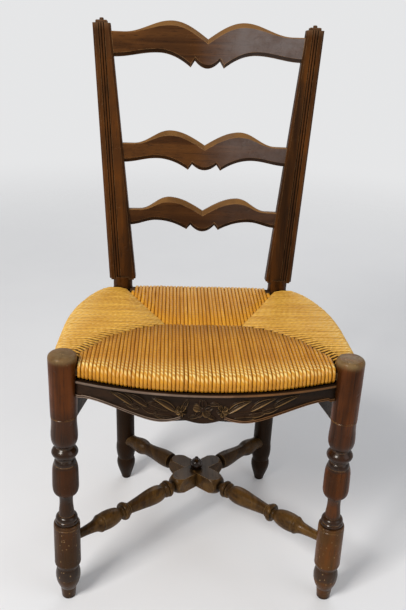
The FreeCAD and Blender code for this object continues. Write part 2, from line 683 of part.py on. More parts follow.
def rear_seat_rail(gap=0.0):
    """The straight rail under the back of the rush."""
    outer = SEAT_EDGE[-1][1] - RUSH_ROUND_RAIL
    half = HALF_REAR_NECK - REAR_NECK_RADIUS + 3.0
    rail = box(-half, half, outer - RAIL_WIDTH - gap, outer + gap,
               RAIL_TOP - RAIL_THICKNESS - gap, RAIL_TOP + gap)
    cutter = rear_leg(GLUE_GAP)
    rail = tilted_with_seat(rail).cut([cutter, mirrored(cutter)])
    rail = max(rail.Solids, key=lambda solid: solid.Volume)
    return rail.fuse([rear_rail_tenon(gap), mirrored(rear_rail_tenon(gap))]).removeSplitter()


def stuffing_outline():
    """The inner edge of the rails as a closed ring of points."""
    inset = RUSH_ROUND_RAIL + RAIL_WIDTH + 6.0
    ring = seat_edge_points()
    moved = []
    for index, point in enumerate(ring):
        direction = (ring[(index + 1) % len(ring)] - ring[index - 1]).normalize()
        moved.append(point + Vector(-direction.y, direction.x, 0) * inset)
    return moved


def seat_stuffing(gap=0.0):
    """The flat wad packed between the upper and lower layers of rush."""
    outline = stuffing_outline()
    curve = Part.BSplineCurve()
    curve.interpolate(outline, PeriodicFlag=True)
    wad = Part.Face(Part.Wire(curve.toShape())).extrude(Vector(0, 0, STUFFING_THICKNESS + gap * 2.0))
    middle = (SEAT_HEIGHT + SEAT_UNDERSIDE) / 2.0
    wad.translate(Vector(0, 0, middle - STUFFING_THICKNESS / 2.0 - gap))
    return tilted_with_seat(wad)


def rush_all():
    """All of the rush in one piece, hollow where the rails, the wad and the legs are."""
    pad = tilted_with_seat(seat_pad())
    legs = [front_leg(GLUE_GAP), mirrored(front_leg(GLUE_GAP)),
            rear_leg(GLUE_GAP), mirrored(rear_leg(GLUE_GAP))]
    rails = [front_seat_rail(GLUE_GAP), rear_seat_rail(GLUE_GAP),
             side_seat_rail(GLUE_GAP), mirrored(side_seat_rail(GLUE_GAP))]
    return pad.cut(legs + rails + [seat_stuffing(GLUE_GAP)])


def mitre(side, corner, bends):
    """The curved seam from a corner of the seat to the end of the middle seam."""
    points = [corner] + bends + [SEAM_TIP]
    return spline([Vector(side * x, y, 0) for x, y in points])


def rush_section_prism(name):
    """A tall prism over one of the four sections of the seat."""
    far = 600.0
    tip_x, tip_y = SEAM_TIP
    front_corner = (HALF_FRONT, 0.0)
    rear_corner = (HALF_REAR_NECK, LEG_DEPTH)
    if name in ("left", "right"):
        side = -1.0 if name == "left" else 1.0
        front_seam = mitre(side, front_corner, FRONT_MITRE)
        rear_seam = mitre(side, rear_corner, REAR_MITRE)
        outside = polyline([Vector(side * front_corner[0], front_corner[1], 0),
                            Vector(side * far, -far / 2.0, 0), Vector(side * far, far * 1.5, 0),
                            Vector(side * rear_corner[0], rear_corner[1], 0)])
        edges = [front_seam, rear_seam] + outside
    else:
        front = name == "front"
        corner = front_corner if front else rear_corner
        bends = FRONT_MITRE if front else REAR_MITRE
        end = -far / 2.0 if front else far * 1.5
        outside = polyline([Vector(-corner[0], corner[1], 0), Vector(-far, end, 0),
                            Vector(far, end, 0), Vector(corner[0], corner[1], 0)])
        edges = [mitre(-1.0, corner, bends), mitre(1.0, corner, bends),
                 Part.makeLine(Vector(-tip_x, tip_y, 0), Vector(tip_x, tip_y, 0))] + outside
    return prism(Part.__sortEdges__(edges), Vector(0, 0, SEAT_HEIGHT * 2.0))


# Aprons

def apron_face(x, proud=0.0):
    """Depth of the front apron's face at a place along it."""
    return APRON_FACE_AT_LEG - proud - APRON_BOW * (1.0 - (x / HALF_FRONT) ** 2)


def apron_plank(proud, low, high):
    """A bowed plank the front apron is cut from, its face moved forward by proud."""
    half = HALF_FRONT
    face = Part.Arc(Vector(-half, apron_face(half, proud), low), Vector(0, apron_face(0, proud), low),
                    Vector(half, apron_face(half, proud), low)).toShape()
    back_end = apron_face(half) + APRON_THICKNESS
    back_middle = apron_face(0) + APRON_THICKNESS
    back = Part.Arc(Vector(half, back_end, low), Vector(0, back_middle, low),
                    Vector(-half, back_end, low)).toShape()
    ends = [Part.makeLine(Vector(half, apron_face(half, proud), low), Vector(half, back_end, low)),
            Part.makeLine(Vector(-half, back_end, low), Vector(-half, apron_face(half, proud), low))]
    return prism([face, ends[0], back, ends[1]], Vector(0, 0, high - low))


def apron_under_edge(lift):
    """The serpentine lower edge from left to right, lifted by a height, as edges."""
    top = SEAT_UNDERSIDE - GLUE_GAP
    level = top - APRON_END_HEIGHT + lift
    valley = level - APRON_VALLEY_DEPTH
    cusp = level - APRON_CUSP_DEPTH
    lobe = level - APRON_LOBE_DEPTH

    def at(place, height):
        return Vector(APRON_SHIFT + place, 0, height)

    def wing(side):
        return [at(side * APRON_CUSP_PLACE, cusp),
                at(side * (APRON_CUSP_PLACE + VALLEY_PLACE) / 2.0, valley + 2.0),
                at(side * VALLEY_PLACE, valley), at(side * 100.0, level - 11.5),
                at(side * SHALLOW_PLACE, level), Vector(side * HALF_FRONT, 0, level)]

    middle = [at(-APRON_CUSP_PLACE, cusp), at(-APRON_CUSP_PLACE * 0.45, lobe + 2.0), at(0, lobe),
              at(APRON_CUSP_PLACE * 0.45, lobe + 2.0), at(APRON_CUSP_PLACE, cusp)]
    return [spline(wing(-1.0)[::-1]), spline(middle), spline(wing(1.0))]


def apron_outline_prism(lift_low, high):
    """A deep prism bounded below by the serpentine edge and above by a level line."""
    under = apron_under_edge(lift_low)
    left = under[0].Vertexes[0].Point
    right = under[-1].Vertexes[-1].Point
    left_point = Vector(-HALF_FRONT, 0, left.z)
    right_point = Vector(HALF_FRONT, 0, right.z)
    edges = under + polyline([right_point, Vector(HALF_FRONT, 0, high),
                              Vector(-HALF_FRONT, 0, high), left_point])
    shape = prism(Part.__sortEdges__(edges), Vector(0, THROUGH_CUT, 0))
    shape.translate(Vector(0, -THROUGH_CUT / 2.0, 0))
    return shape


def leaf_prism(x, z, angle, length, width):
    """A pointed leaf outline pushed through the apron, turned by an angle from level."""
    root = Vector(0, 0, 0)
    tip = Vector(length, 0, 0)
    upper = Part.Arc(root, Vector(length * 0.45, 0, width / 2.0), tip).toShape()
    lower = Part.Arc(tip, Vector(length * 0.45, 0, -width / 2.0), root).toShape()
    shape = prism([upper, lower], Vector(0, THROUGH_CUT, 0))
    shape.rotate(Vector(0, 0, 0), Vector(0, 1, 0), -angle)
    shape.translate(Vector(x, -THROUGH_CUT / 2.0, z))
    return shape


def disc_prism(x, z, radius):
    """A round outline pushed through the apron."""
    return Part.makeCylinder(radius, THROUGH_CUT, Vector(x, -THROUGH_CUT / 2.0, z), Vector(0, 1, 0))


def carving_prisms():
    """Rose, side blossoms and laurel leaves of the front apron, as outlines pushed through it."""
    middle = SEAT_UNDERSIDE - 24.0
    shapes = [disc_prism(APRON_SHIFT, middle, ROSE_RADIUS * 0.45)]
    petals = 5
    for index in range(petals):
        turn = math.radians(90.0 + 360.0 / petals * index)
        shapes.append(disc_prism(APRON_SHIFT + ROSE_RADIUS * 0.62 * math.cos(turn),
                                 middle + ROSE_RADIUS * 0.62 * math.sin(turn), ROSE_RADIUS * 0.42))
    for side in (-1.0, 1.0):
        shapes.append(disc_prism(APRON_SHIFT + side * 26.0, middle - 4.0, ROSE_RADIUS * 0.42))
        for start, rise in ((30.0, 2.0), (50.0, -1.0), (72.0, 1.0)):
            for lean in (18.0, -20.0):
                angle = lean if side > 0 else 180.0 - lean
                shapes.append(leaf_prism(APRON_SHIFT + side * start, middle + rise, angle,
                                         LEAF_LENGTH, LEAF_WIDTH))
    return shapes


def front_apron():
    """The carved front apron with its tongues."""
    top = SEAT_UNDERSIDE - GLUE_GAP
    low = top - APRON_END_HEIGHT - APRON_VALLEY_DEPTH - 5.0
    body = apron_plank(0.0, low, top).common(apron_outline_prism(0.0, top))
    bead = apron_plank(TOP_BEAD_PROUD, top - TOP_BEAD_HEIGHT, top)
    fillet = apron_plank(EDGE_FILLET_PROUD, low, top).common(apron_outline_prism(0.0, top))
    fillet = fillet.cut(apron_outline_prism(EDGE_FILLET_HEIGHT, top + 10.0))
    shapes = carving_prisms()
    relief = shapes[0].multiFuse(shapes[1:])
    relief = relief.common(apron_plank(CARVING_PROUD, low, top - TOP_BEAD_HEIGHT))
    relief = relief.common(apron_outline_prism(EDGE_FILLET_HEIGHT, top))
    whole = body.multiFuse([bead, fillet, relief])
    whole = tilted_with_seat(whole)
    cutter = front_leg(GLUE_GAP)
    whole = whole.cut([cutter, mirrored(cutter)])
    whole = max(whole.Solids, key=lambda solid: solid.Volume)
    return whole.fuse([front_apron_tenon(), mirrored(front_apron_tenon())]).removeSplitter()


def front_apron_tenon(gap=0.0):
    """The front apron's right tongue."""
    top = SEAT_UNDERSIDE - APRON_TENON_SHOULDER + gap
    low = SEAT_UNDERSIDE - APRON_END_HEIGHT + APRON_TENON_SHOULDER - gap
    front = apron_face(HALF_FRONT - LEG_TOP_RADIUS) + APRON_TENON_SETBACK
    tongue = box(HALF_FRONT - LEG_TOP_RADIUS - 6.0, HALF_FRONT - 4.0 + gap,
                 front - gap, front + APRON_TENON_THICKNESS + gap, low, top)
    return tilted_with_seat(tongue)


def side_apron_line():
    """Start and end of the right side apron's middle line, on the leg axes."""
    front = Vector(HALF_FRONT - SIDE_APRON_INSET, 0, 0)
    rear = Vector(rear_leg_axis(SEAT_UNDERSIDE).x - SIDE_APRON_INSET * 0.5, LEG_DEPTH, 0)
    return front, rear


def side_apron_board(thickness, from_front, from_rear, low, high):
    """A straight board along the side apron's line, shortened at its ends."""
    front, rear = side_apron_line()
    direction = rear - front
    length = direction.Length - from_front - from_rear
    board = Part.makeBox(length, thickness, high - low)
    board.translate(Vector(from_front, -thickness / 2.0, low))
    board.rotate(Vector(0, 0, 0), Vector(0, 0, 1), math.degrees(math.atan2(direction.y, direction.x)))
    board.translate(front)
    return board


def side_apron_tenons(gap=0.0):
    """Both tongues of the right side apron, as one board that runs into the legs."""
    top = SEAT_UNDERSIDE - APRON_TENON_SHOULDER + gap
    low = SEAT_UNDERSIDE - SIDE_APRON_HEIGHT + APRON_TENON_SHOULDER - gap
    board = side_apron_board(APRON_TENON_THICKNESS + gap * 2.0, 9.0 - gap, 5.0 - gap, low, top)
    return tilted_with_seat(board)


def side_apron():
    """The plain right side apron with its tongues."""
    top = SEAT_UNDERSIDE - GLUE_GAP
    board = side_apron_board(SIDE_APRON_THICKNESS, 0.0, 0.0, top - SIDE_APRON_HEIGHT, top)
    board = tilted_with_seat(board).cut([front_leg(GLUE_GAP), rear_leg(GLUE_GAP)])
    board = max(board.Solids, key=lambda solid: solid.Volume)
    return board.fuse(side_apron_tenons()).removeSplitter()


# Diagonal stretchers

def crossing_point():
    """Where the two diagonal stretchers cross."""
    rear_x = rear_leg_axis(STRETCHER_REAR_HEIGHT).x
    front_x = front_leg_axis(STRETCHER_FRONT_HEIGHT).x
    share = front_x / (front_x + rear_x)
    height = STRETCHER_FRONT_HEIGHT + (STRETCHER_REAR_HEIGHT - STRETCHER_FRONT_HEIGHT) * share
    return Vector(0, LEG_DEPTH * share, height)


def stretcher_front_point():
    """The middle of the right front leg where the stretcher enters it."""
    return front_leg_axis(STRETCHER_FRONT_HEIGHT)


def stretcher_rear_point():
    """The middle of the right rear leg where the stretcher enters it."""
    return rear_leg_axis(STRETCHER_REAR_HEIGHT)


def front_arm_profile(length):
    """Turning of a front arm from the lap block out to the leg, as (radius, distance)."""
    block = LAP_BLOCK_HALF_LENGTH
    return [
        [(7.0, 0.0), (7.0, block + 2.0)],
        [(7.0, block + 2.0), (9.5, block + 4.0), (10.5, block + 9.0)],
        [(10.5, block + 9.0), (14.8, block + 11.0)],
        [(14.8, block + 11.0), (16.4, block + 14.5), (14.6, block + 18.5)],
        [(14.6, block + 18.5), (12.6, block + 19.5)],
        [(12.6, block + 19.5), (14.9, block + 22.0), (13.0, block + 25.5)],
        [(13.0, block + 25.5), (11.4, block + 28.0)],
        [(11.4, block + 28.0), (14.0, block + 32.0), (16.3, block + 42.0), (14.6, block + 72.0),
         (11.6, block + 98.0), (10.2, block + 112.0)],
        [(10.2, block + 112.0), (12.4, block + 114.0)],
        [(12.4, block + 114.0), (12.4, block + 117.0)],
        [(12.4, block + 117.0), (15.4, block + 119.0), (16.9, block + 123.0), (15.0, block + 127.5)],
        [(15.0, block + 127.5), (9.6, block + 129.5), (9.4, block + 132.5)],
        [(9.4, block + 132.5), (12.8, block + 138.0), (15.8, block + 149.0), (16.9, block + 163.0),
         (16.0, block + 174.0)],
        [(16.0, block + 174.0), (15.2, block + 175.0)],
        [(15.2, block + 175.0), (16.2, block + 178.0), (14.8, block + 181.5)],
        [(14.8, block + 181.5), (12.2, block + 186.0), (9.8, block + 197.0), (8.3, block + 214.0),
         (7.8, length - 20.0)],
        [(7.8, length - 20.0), (7.8, length)],
    ]


def rear_arm_profile(length):
    """Turning of a rear arm from the lap block out to the leg, as (radius, distance)."""
    block = LAP_BLOCK_HALF_LENGTH
    return [
        [(7.0, 0.0), (7.0, block + 2.0)],
        [(7.0, block + 2.0), (10.5, block + 4.0)],
        [(10.5, block + 4.0), (15.6, block + 6.0)],
        [(15.6, block + 6.0), (16.4, block + 12.0), (14.4, block + 45.0), (12.7, block + 68.0)],
        [(12.7, block + 68.0), (12.9, block + 72.0), (15.8, block + 83.0), (16.3, block + 91.0),
         (14.2, block + 105.0), (13.2, length - 18.0)],
        [(13.2, length - 18.0), (13.2, length)],
    ]


def lap_block(extra=0.0):
    """The square middle of a stretcher with its rounded ends, made along Z."""
    half = LAP_BLOCK_WIDTH / 2.0 + extra
    reach = LAP_BLOCK_HALF_LENGTH + extra
    square = box(-half, half, -half, half, -reach, reach)
    corner = half * math.sqrt(2.0)
    end = [(9.0, reach), (half * 0.86, reach - 1.5), (half * 1.12, reach - 6.0), (corner, reach - 17.0)]
    start = [(radius, -height) for radius, height in end]
    rounding = turned([start, [(corner, -reach + 17.0), (corner, reach - 17.0)], end[::-1]])
    return square.common(rounding)


def stretcher_blank(side, extra=0.0):
    """A diagonal stretcher before its lap, running back from the front leg on one side."""
    crossing = crossing_point()
    front = stretcher_front_point()
    rear = stretcher_rear_point()
    front.x *= side
    rear.x *= -side
    front_length = (front - crossing).Length
    rear_length = (rear - crossing).Length
    front_arm = along(turned(front_arm_profile(front_length)), crossing, front)
    rear_arm = along(turned(rear_arm_profile(rear_length)), crossing, rear)
    block = along(lap_block(extra), crossing, front)
    return front_arm, rear_arm, block


def stretcher_tenons(side, gap=0.0):
    """The two round tongues of a stretcher, grown by gap to make their mortises."""
    crossing = crossing_point()
    tongues = []
    for point, x_sign, leg_radius in ((stretcher_front_point(), side, BLOCK_RADIUS),
                                      (stretcher_rear_point(), -side, REAR_LEG_RADIUS)):
        point.x *= x_sign
        direction = (point - crossing).normalize()
        start = point - direction * (leg_radius + 4.0)
        length = 4.0 + STRETCHER_TENON_DEPTH + gap
        tongues.append(Part.makeCylinder(STRETCHER_TENON_RADIUS + gap, length, start, direction))
    return tongues


def stretcher(side):
    """A diagonal stretcher: the one from the right front leg keeps its upper half at the lap."""
    front_arm, rear_arm, block = stretcher_blank(side)
    whole = block.multiFuse([front_arm, rear_arm])
    legs = [front_leg(GLUE_GAP), mirrored(front_leg(GLUE_GAP)),
            rear_leg(GLUE_GAP), mirrored(rear_leg(GLUE_GAP))]
    whole = whole.cut(legs)
    whole = max(whole.Solids, key=lambda solid: solid.Volume)
    crossing = crossing_point()
    other = stretcher_blank(-side, GLUE_GAP)[2]
    size = 200.0
    plane = crossing.z + (GLUE_GAP / 2.0 if side < 0 else -GLUE_GAP / 2.0)
    low, high = (plane, plane + size) if side < 0 else (plane - size, plane)
    notch = other.common(box(-size, size, crossing.y - size, crossing.y + size, low, high))
    dowel_hole = Part.makeCylinder(DOWEL_RADIUS + GLUE_GAP, LAP_BLOCK_WIDTH * 2.0,
                                   Vector(0, crossing.y, crossing.z - LAP_BLOCK_WIDTH))
    whole = whole.cut([notch, dowel_hole])
    return whole.fuse(stretcher_tenons(side)).removeSplitter()


def stretcher_finial():
    """The turned ball on top of the lap, with the dowel that pins both stretchers."""
    crossing = crossing_point()
    seat = crossing.z + LAP_BLOCK_WIDTH / 2.0 + GLUE_GAP
    low = crossing.z - LAP_BLOCK_WIDTH / 2.0 + 2.0
    top = seat + FINIAL_HEIGHT
    ball = turned([
        [(DOWEL_RADIUS, low), (DOWEL_RADIUS, seat)],
        [(DOWEL_RADIUS, seat), (FINIAL_RADIUS * 0.62, seat)],
        [(FINIAL_RADIUS * 0.62, seat), (FINIAL_RADIUS * 0.93, seat + FINIAL_HEIGHT * 0.22),
         (FINIAL_RADIUS, seat + FINIAL_HEIGHT * 0.47), (FINIAL_RADIUS * 0.84, seat + FINIAL_HEIGHT * 0.76),
         (FINIAL_TIP_RADIUS + 1.6, top)],
        [(FINIAL_TIP_RADIUS + 1.6, top), (FINIAL_TIP_RADIUS, top + 0.6)],
        [(FINIAL_TIP_RADIUS, top + 0.6), (FINIAL_TIP_RADIUS * 0.95, top + FINIAL_TIP_HEIGHT * 0.6),
         (0.3, top + FINIAL_TIP_HEIGHT)],
    ])
    ball.translate(Vector(0, crossing.y, 0))
    return ball


# Mortises

def finished_front_leg():
    """The right front leg with the mortises for rails, aprons and stretcher."""
    stretcher_tongue = stretcher_tenons(1.0, GLUE_GAP)[0]
    tongues = [front_rail_tenon(GLUE_GAP), side_rail_front_tenon(GLUE_GAP),
               front_apron_tenon(GLUE_GAP), side_apron_tenons(GLUE_GAP), stretcher_tongue]
    return front_leg().cut(tongues)


def finished_rear_post():
    """The right rear post with the mortises for slats, rails, apron and stretcher."""
    stretcher_tongue = stretcher_tenons(-1.0, GLUE_GAP)[1]
    tongues = [leaned_back(slat_tenon(slat, GLUE_GAP)) for slat in (TOP_SLAT, MIDDLE_SLAT, LOWER_SLAT)]
    tongues += [rear_rail_tenon(GLUE_GAP), side_rail_rear_tenon(GLUE_GAP),
                side_apron_tenons(GLUE_GAP), stretcher_tongue]
    return rear_post().cut(tongues)


# The whole chair

def chair():
    """Every piece of the chair by name, in place."""
    leg = finished_front_leg()
    post = finished_rear_post()
    side_rail = side_seat_rail()
    side_board = side_apron()
    pieces = {
        "front_leg_right": leg,
        "front_leg_left": mirrored(leg),
        "rear_post_right": post,
        "rear_post_left": mirrored(post),
        "top_slat": slat_body(TOP_SLAT),
        "middle_slat": slat_body(MIDDLE_SLAT),
        "lower_slat": slat_body(LOWER_SLAT),
        "front_seat_rail": front_seat_rail(),
        "rear_seat_rail": rear_seat_rail(),
        "right_seat_rail": side_rail,
        "left_seat_rail": mirrored(side_rail),
        "seat_stuffing": seat_stuffing(),
        "front_apron": front_apron(),
        "right_side_apron": side_board,
        "left_side_apron": mirrored(side_board),
        "stretcher_front_right_to_rear_left": stretcher(1.0),
        "stretcher_front_left_to_rear_right": stretcher(-1.0),
        "stretcher_finial": stretcher_finial(),
    }
    rush = rush_all()
    for name in ("front", "rear", "left", "right"):
        pieces["rush_" + name] = rush.common(rush_section_prism(name))
    return pieces


def single_solid(shape):
    """The one solid of a piece, out of any compound a cut leaves round it."""
    solids = shape.Solids
    if len(solids) == 1:
        return solids[0]
    return shape


def main():
    pieces = {name: single_solid(shape) for name, shape in chair().items()}
    box_all = Part.makeCompound(list(pieces.values())).optimalBoundingBox(True)
    middle = (box_all.YMin + box_all.YMax) / 2.0
    os.makedirs("parts", exist_ok=True)
    for name, shape in pieces.items():
        shape.translate(Vector(0, -middle, 0))
        shape.exportStep("parts/" + name + ".step")
        print(name, "solids", len(shape.Solids), "valid", shape.isValid(),
              "volume_cm3", round(shape.Volume / 1000.0, 1))
    print("front leg axes at y", round(-middle, 3))
    print("size", round(box_all.XLength, 1), round(box_all.YLength, 1), round(box_all.ZLength, 1))


main()
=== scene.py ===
# %% [markdown]
# # A ladderback chair with a rush seat
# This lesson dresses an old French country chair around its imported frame. The frame gives every
# turned leg, post, slat and stretcher at its true size, so these keep their shapes and get their
# wood. The rush seat and the carved apron are too fine for a plain solid, so they are modelled here
# and take the place of their solids. Lengths are in metres. X runs to the right, Y to the back
# and Z up, and the chair stands on Z = 0.

# %% Load the frame
import math
import random

import bpy
import numpy as np
from mathutils import Matrix, Vector
from mathutils.bvhtree import BVHTree


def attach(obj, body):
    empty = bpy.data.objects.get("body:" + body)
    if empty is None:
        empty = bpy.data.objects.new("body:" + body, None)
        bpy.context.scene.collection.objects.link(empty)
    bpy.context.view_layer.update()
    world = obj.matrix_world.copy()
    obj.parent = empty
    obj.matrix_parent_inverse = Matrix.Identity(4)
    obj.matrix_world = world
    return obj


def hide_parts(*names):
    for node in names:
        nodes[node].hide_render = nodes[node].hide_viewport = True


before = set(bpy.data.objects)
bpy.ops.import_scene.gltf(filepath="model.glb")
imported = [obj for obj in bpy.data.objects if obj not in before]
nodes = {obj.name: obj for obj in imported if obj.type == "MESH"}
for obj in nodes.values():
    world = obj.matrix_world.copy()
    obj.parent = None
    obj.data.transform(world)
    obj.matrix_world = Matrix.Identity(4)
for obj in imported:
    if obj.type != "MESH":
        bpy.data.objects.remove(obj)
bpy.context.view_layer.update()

# %% [markdown]
# ## The camera
# The photograph was taken from standing height, a little left of the chair, with a normal lens.
# Its place and turn were worked out from points of the chair whose sizes are known from each
# other, such as the two equal front legs. Yaw, pitch and roll then say where the lens points.

# %% Place the camera
CAMERA_PLACE = Vector((-0.06455, -1.259265, 1.03739))
CAMERA_YAW = math.radians(2.885)
CAMERA_PITCH = math.radians(23.767)
CAMERA_ROLL = math.radians(2.392)
SENSOR_WIDTH = 36.0
FOCAL_PIXELS = 780.0
PICTURE_WIDTH = 406.0


def camera_axes(yaw, pitch, roll):
    """Right, up and backward directions of a camera that looks along yaw and down by pitch."""
    forward = Vector((math.sin(yaw) * math.cos(pitch), math.cos(yaw) * math.cos(pitch), -math.sin(pitch)))
    level = Vector((math.cos(yaw), -math.sin(yaw), 0.0))
    upright = level.cross(forward)
    right = level * math.cos(roll) + upright * math.sin(roll)
    up = upright * math.cos(roll) - level * math.sin(roll)
    return right, up, -forward


right, up, backward = camera_axes(CAMERA_YAW, CAMERA_PITCH, CAMERA_ROLL)
lens = bpy.data.cameras.new("camera")
lens.sensor_fit = "HORIZONTAL"
lens.sensor_width = SENSOR_WIDTH
lens.lens = FOCAL_PIXELS / PICTURE_WIDTH * SENSOR_WIDTH
camera = bpy.data.objects.new("camera", lens)
turn = Matrix((right, up, backward)).transposed().to_4x4()
camera.matrix_world = Matrix.Translation(CAMERA_PLACE) @ turn
bpy.context.scene.collection.objects.link(camera)
bpy.context.scene.camera = camera
print("lens", round(lens.lens, 2), "mm")

# %% [markdown]
# ## Small helpers for materials
# A material is a tree of nodes. Written out in full it is long and hard to read, so a few short
# functions name what a maker would say: put a node in, multiply, add, blend one colour over
# another, stretch a value from one range to another, read a place or a noise. Colours are written
# as they look on a screen and turned into the linear ones that a renderer counts with.

# %% Colours and single nodes
def paint(red, green, blue):
    """A colour as it is seen on a screen (0 to 255), as the linear colour a node wants."""
    def linear(value):
        share = value / 255.0
        return share / 12.92 if share <= 0.04045 else ((share + 0.055) / 1.055) ** 2.4
    return (linear(red), linear(green), linear(blue), 1.0)


def feed(tree, node, feeds):
    """Give a node its inputs, each a plain value or another node's output."""
    for name, value in feeds.items():
        if isinstance(value, bpy.types.NodeSocket):
            tree.links.new(value, node.inputs[name])
        else:
            node.inputs[name].default_value = value
    return node


def put(tree, kind, feeds=None, **settings):
    """Add a node with its settings and inputs."""
    node = tree.nodes.new(kind)
    for name, value in settings.items():
        setattr(node, name, value)
    return feed(tree, node, feeds or {})


print("a brown of 96, 68, 30 is", [round(part, 4) for part in paint(96, 68, 30)])


# %% Sums, blends and ranges
def maths(tree, operation, first, second=0.0, clamp=False):
    """The result of a Math node."""
    return put(tree, "ShaderNodeMath", {0: first, 1: second}, operation=operation,
               use_clamp=clamp).outputs[0]


def times(tree, first, second):
    """The product of two values."""
    return maths(tree, "MULTIPLY", first, second)


def plus(tree, first, second, clamp=False):
    """The sum of two values, kept between 0 and 1 if clamp is on."""
    return maths(tree, "ADD", first, second, clamp)


def scaled(tree, value, factor, start):
    """A value times factor, plus start."""
    return put(tree, "ShaderNodeMath", {0: value, 1: factor, 2: start}, operation="MULTIPLY_ADD").outputs[0]


def blend_colours(tree, share, first, second, mode="MIX"):
    """The result of mixing two colours, where share 0 is the first and 1 the second."""
    node = put(tree, "ShaderNodeMix", {0: share, 6: first, 7: second}, data_type="RGBA",
               blend_type=mode)
    return node.outputs[2]


def remap(tree, value, low, high, to_low=0.0, to_high=1.0):
    """A value taken from one range to another, smoothly and clamped."""
    return put(tree, "ShaderNodeMapRange", {"Value": value, "From Min": low, "From Max": high,
               "To Min": to_low, "To Max": to_high}, interpolation_type="SMOOTHSTEP").outputs[0]


def curve_of(tree, value, stops):
    """A value read off a row of (place, level) stops, as a ramp of greys does."""
    ramp = put(tree, "ShaderNodeValToRGB", {"Fac": value})
    steps = ramp.color_ramp.elements
    while len(steps) < len(stops):
        steps.new(0.5)
    for step, (place, level) in zip(steps, stops):
        step.position = place
        step.color = (level, level, level, 1.0)
    return ramp.outputs["Color"]


print("helpers for sums, blends and ranges are ready")


# %% Places, noises and empty materials
def place_of(tree):
    """The object's own coordinates, which are also those of the room."""
    return tree.nodes.new("ShaderNodeTexCoord").outputs["Object"]


def axis_of(tree, axis):
    """One of the object's own coordinates: X, Y or Z, where Z is the height above the floor."""
    return put(tree, "ShaderNodeSeparateXYZ", {0: place_of(tree)}).outputs[axis]


def noise_of(tree, vector, scale, detail, roughness=0.5, distortion=0.0):
    """A grey noise."""
    return put(tree, "ShaderNodeTexNoise", {"Vector": vector, "Scale": scale, "Detail": detail,
               "Roughness": roughness, "Distortion": distortion}).outputs["Fac"]


def fresh_material(name):
    """An empty material with nodes, its tree and its output."""
    material = bpy.data.materials.new(name)
    material.use_nodes = True
    tree = material.node_tree
    tree.nodes.clear()
    return material, tree, tree.nodes.new("ShaderNodeOutputMaterial")


print("helpers for places and noises are ready")

# %% [markdown]
# ## Light and floor
# A large lamp high on the left in front models the turnings and throws the shadow to the right
# behind. Two broad weaker lamps, from the right and from behind, and a pale sky fill the dark
# wood. The floor is a plain pale disc that fades out far from the chair into a sky of the same
# tone, so no horizon shows from any side, and the chair keeps its soft shadow.

# %% Sky and lamps
SKY_TONE = 0.80
SKY_LIGHT = 0.42
LAMP_AIM = Vector((0.0, 0.0, 0.45))
# Place, size, power and tint of each lamp
LAMPS = {"key_lamp": ((-1.5, -1.7, 2.3), 0.9, 72.0, (1.0, 0.97, 0.93)),
         "fill_lamp": ((1.9, -1.3, 1.5), 1.6, 9.0, (0.93, 0.96, 1.0)),
         "back_lamp": ((0.6, 2.1, 2.0), 1.6, 14.0, (1.0, 1.0, 1.0))}


def make_sky():
    """A sky that lights softly and is seen as one pale tone."""
    world = bpy.data.worlds.new("studio_sky")
    world.use_nodes = True
    tree = world.node_tree
    tree.nodes.clear()
    path = tree.nodes.new("ShaderNodeLightPath")
    seen = plus(tree, path.outputs["Is Camera Ray"], path.outputs["Is Transmission Ray"], True)
    strength = put(tree, "ShaderNodeMix", {0: seen, 2: SKY_LIGHT, 3: SKY_TONE}, data_type="FLOAT")
    light = put(tree, "ShaderNodeBackground", {"Color": (0.985, 0.99, 1.0, 1.0),
                "Strength": strength.outputs[0]})
    out = tree.nodes.new("ShaderNodeOutputWorld")
    tree.links.new(light.outputs[0], out.inputs["Surface"])
    bpy.context.scene.world = world


def make_lamp(name, place, size, power, tint):
    """A square lamp at a place, turned to the middle of the chair."""
    data = bpy.data.lights.new(name, "AREA")
    data.shape = "SQUARE"
    data.size = size
    data.energy = power
    data.color = tint
    lamp = bpy.data.objects.new(name, data)
    lamp.location = place
    lamp.rotation_euler = (LAMP_AIM - Vector(place)).to_track_quat("-Z", "Y").to_euler()
    bpy.context.scene.collection.objects.link(lamp)


make_sky()
for name, (place, size, power, tint) in LAMPS.items():
    make_lamp(name, place, size, power, tint)
print("lamps:", list(LAMPS))

# %% Floor
FLOOR_RADIUS = 3.4
FLOOR_FADE_FROM = 1.1
FLOOR_FADE_TO = 3.2


def floor_material():
    """Plain pale floor, clear beyond its middle so that it melts into the sky."""
    material, tree, out = fresh_material("pale_floor")
    place = place_of(tree)
    far = put(tree, "ShaderNodeVectorMath", {0: place}, operation="LENGTH").outputs["Value"]
    mottle = noise_of(tree, place, 3.0, 4.0)
    colour = blend_colours(tree, mottle, paint(224, 225, 228), paint(232, 233, 235))
    surface = put(tree, "ShaderNodeBsdfPrincipled", {"Base Color": colour, "Roughness": 0.85,
                  "Specular IOR Level": 0.2})
    clear = tree.nodes.new("ShaderNodeBsdfTransparent")
    fade = put(tree, "ShaderNodeMixShader", {0: remap(tree, far, FLOOR_FADE_FROM, FLOOR_FADE_TO),
               1: surface.outputs[0], 2: clear.outputs[0]})
    tree.links.new(fade.outputs[0], out.inputs["Surface"])
    return material


bpy.ops.mesh.primitive_circle_add(vertices=96, radius=FLOOR_RADIUS, fill_type="NGON")
floor = bpy.context.object
floor.name = "floor"
floor.data.materials.append(floor_material())
print("stage is set")

# %% [markdown]
# ## Shared effects
# Old waxed wood is the same few effects everywhere: long grain with pores, wax and dirt that
# gather in hollows, edges rubbed pale by hands, and drifting patches of tone. Each effect is a
# node group with named inputs and outputs, built once, and every wood places it with its own
# values. A group puts out only what changes over the surface.

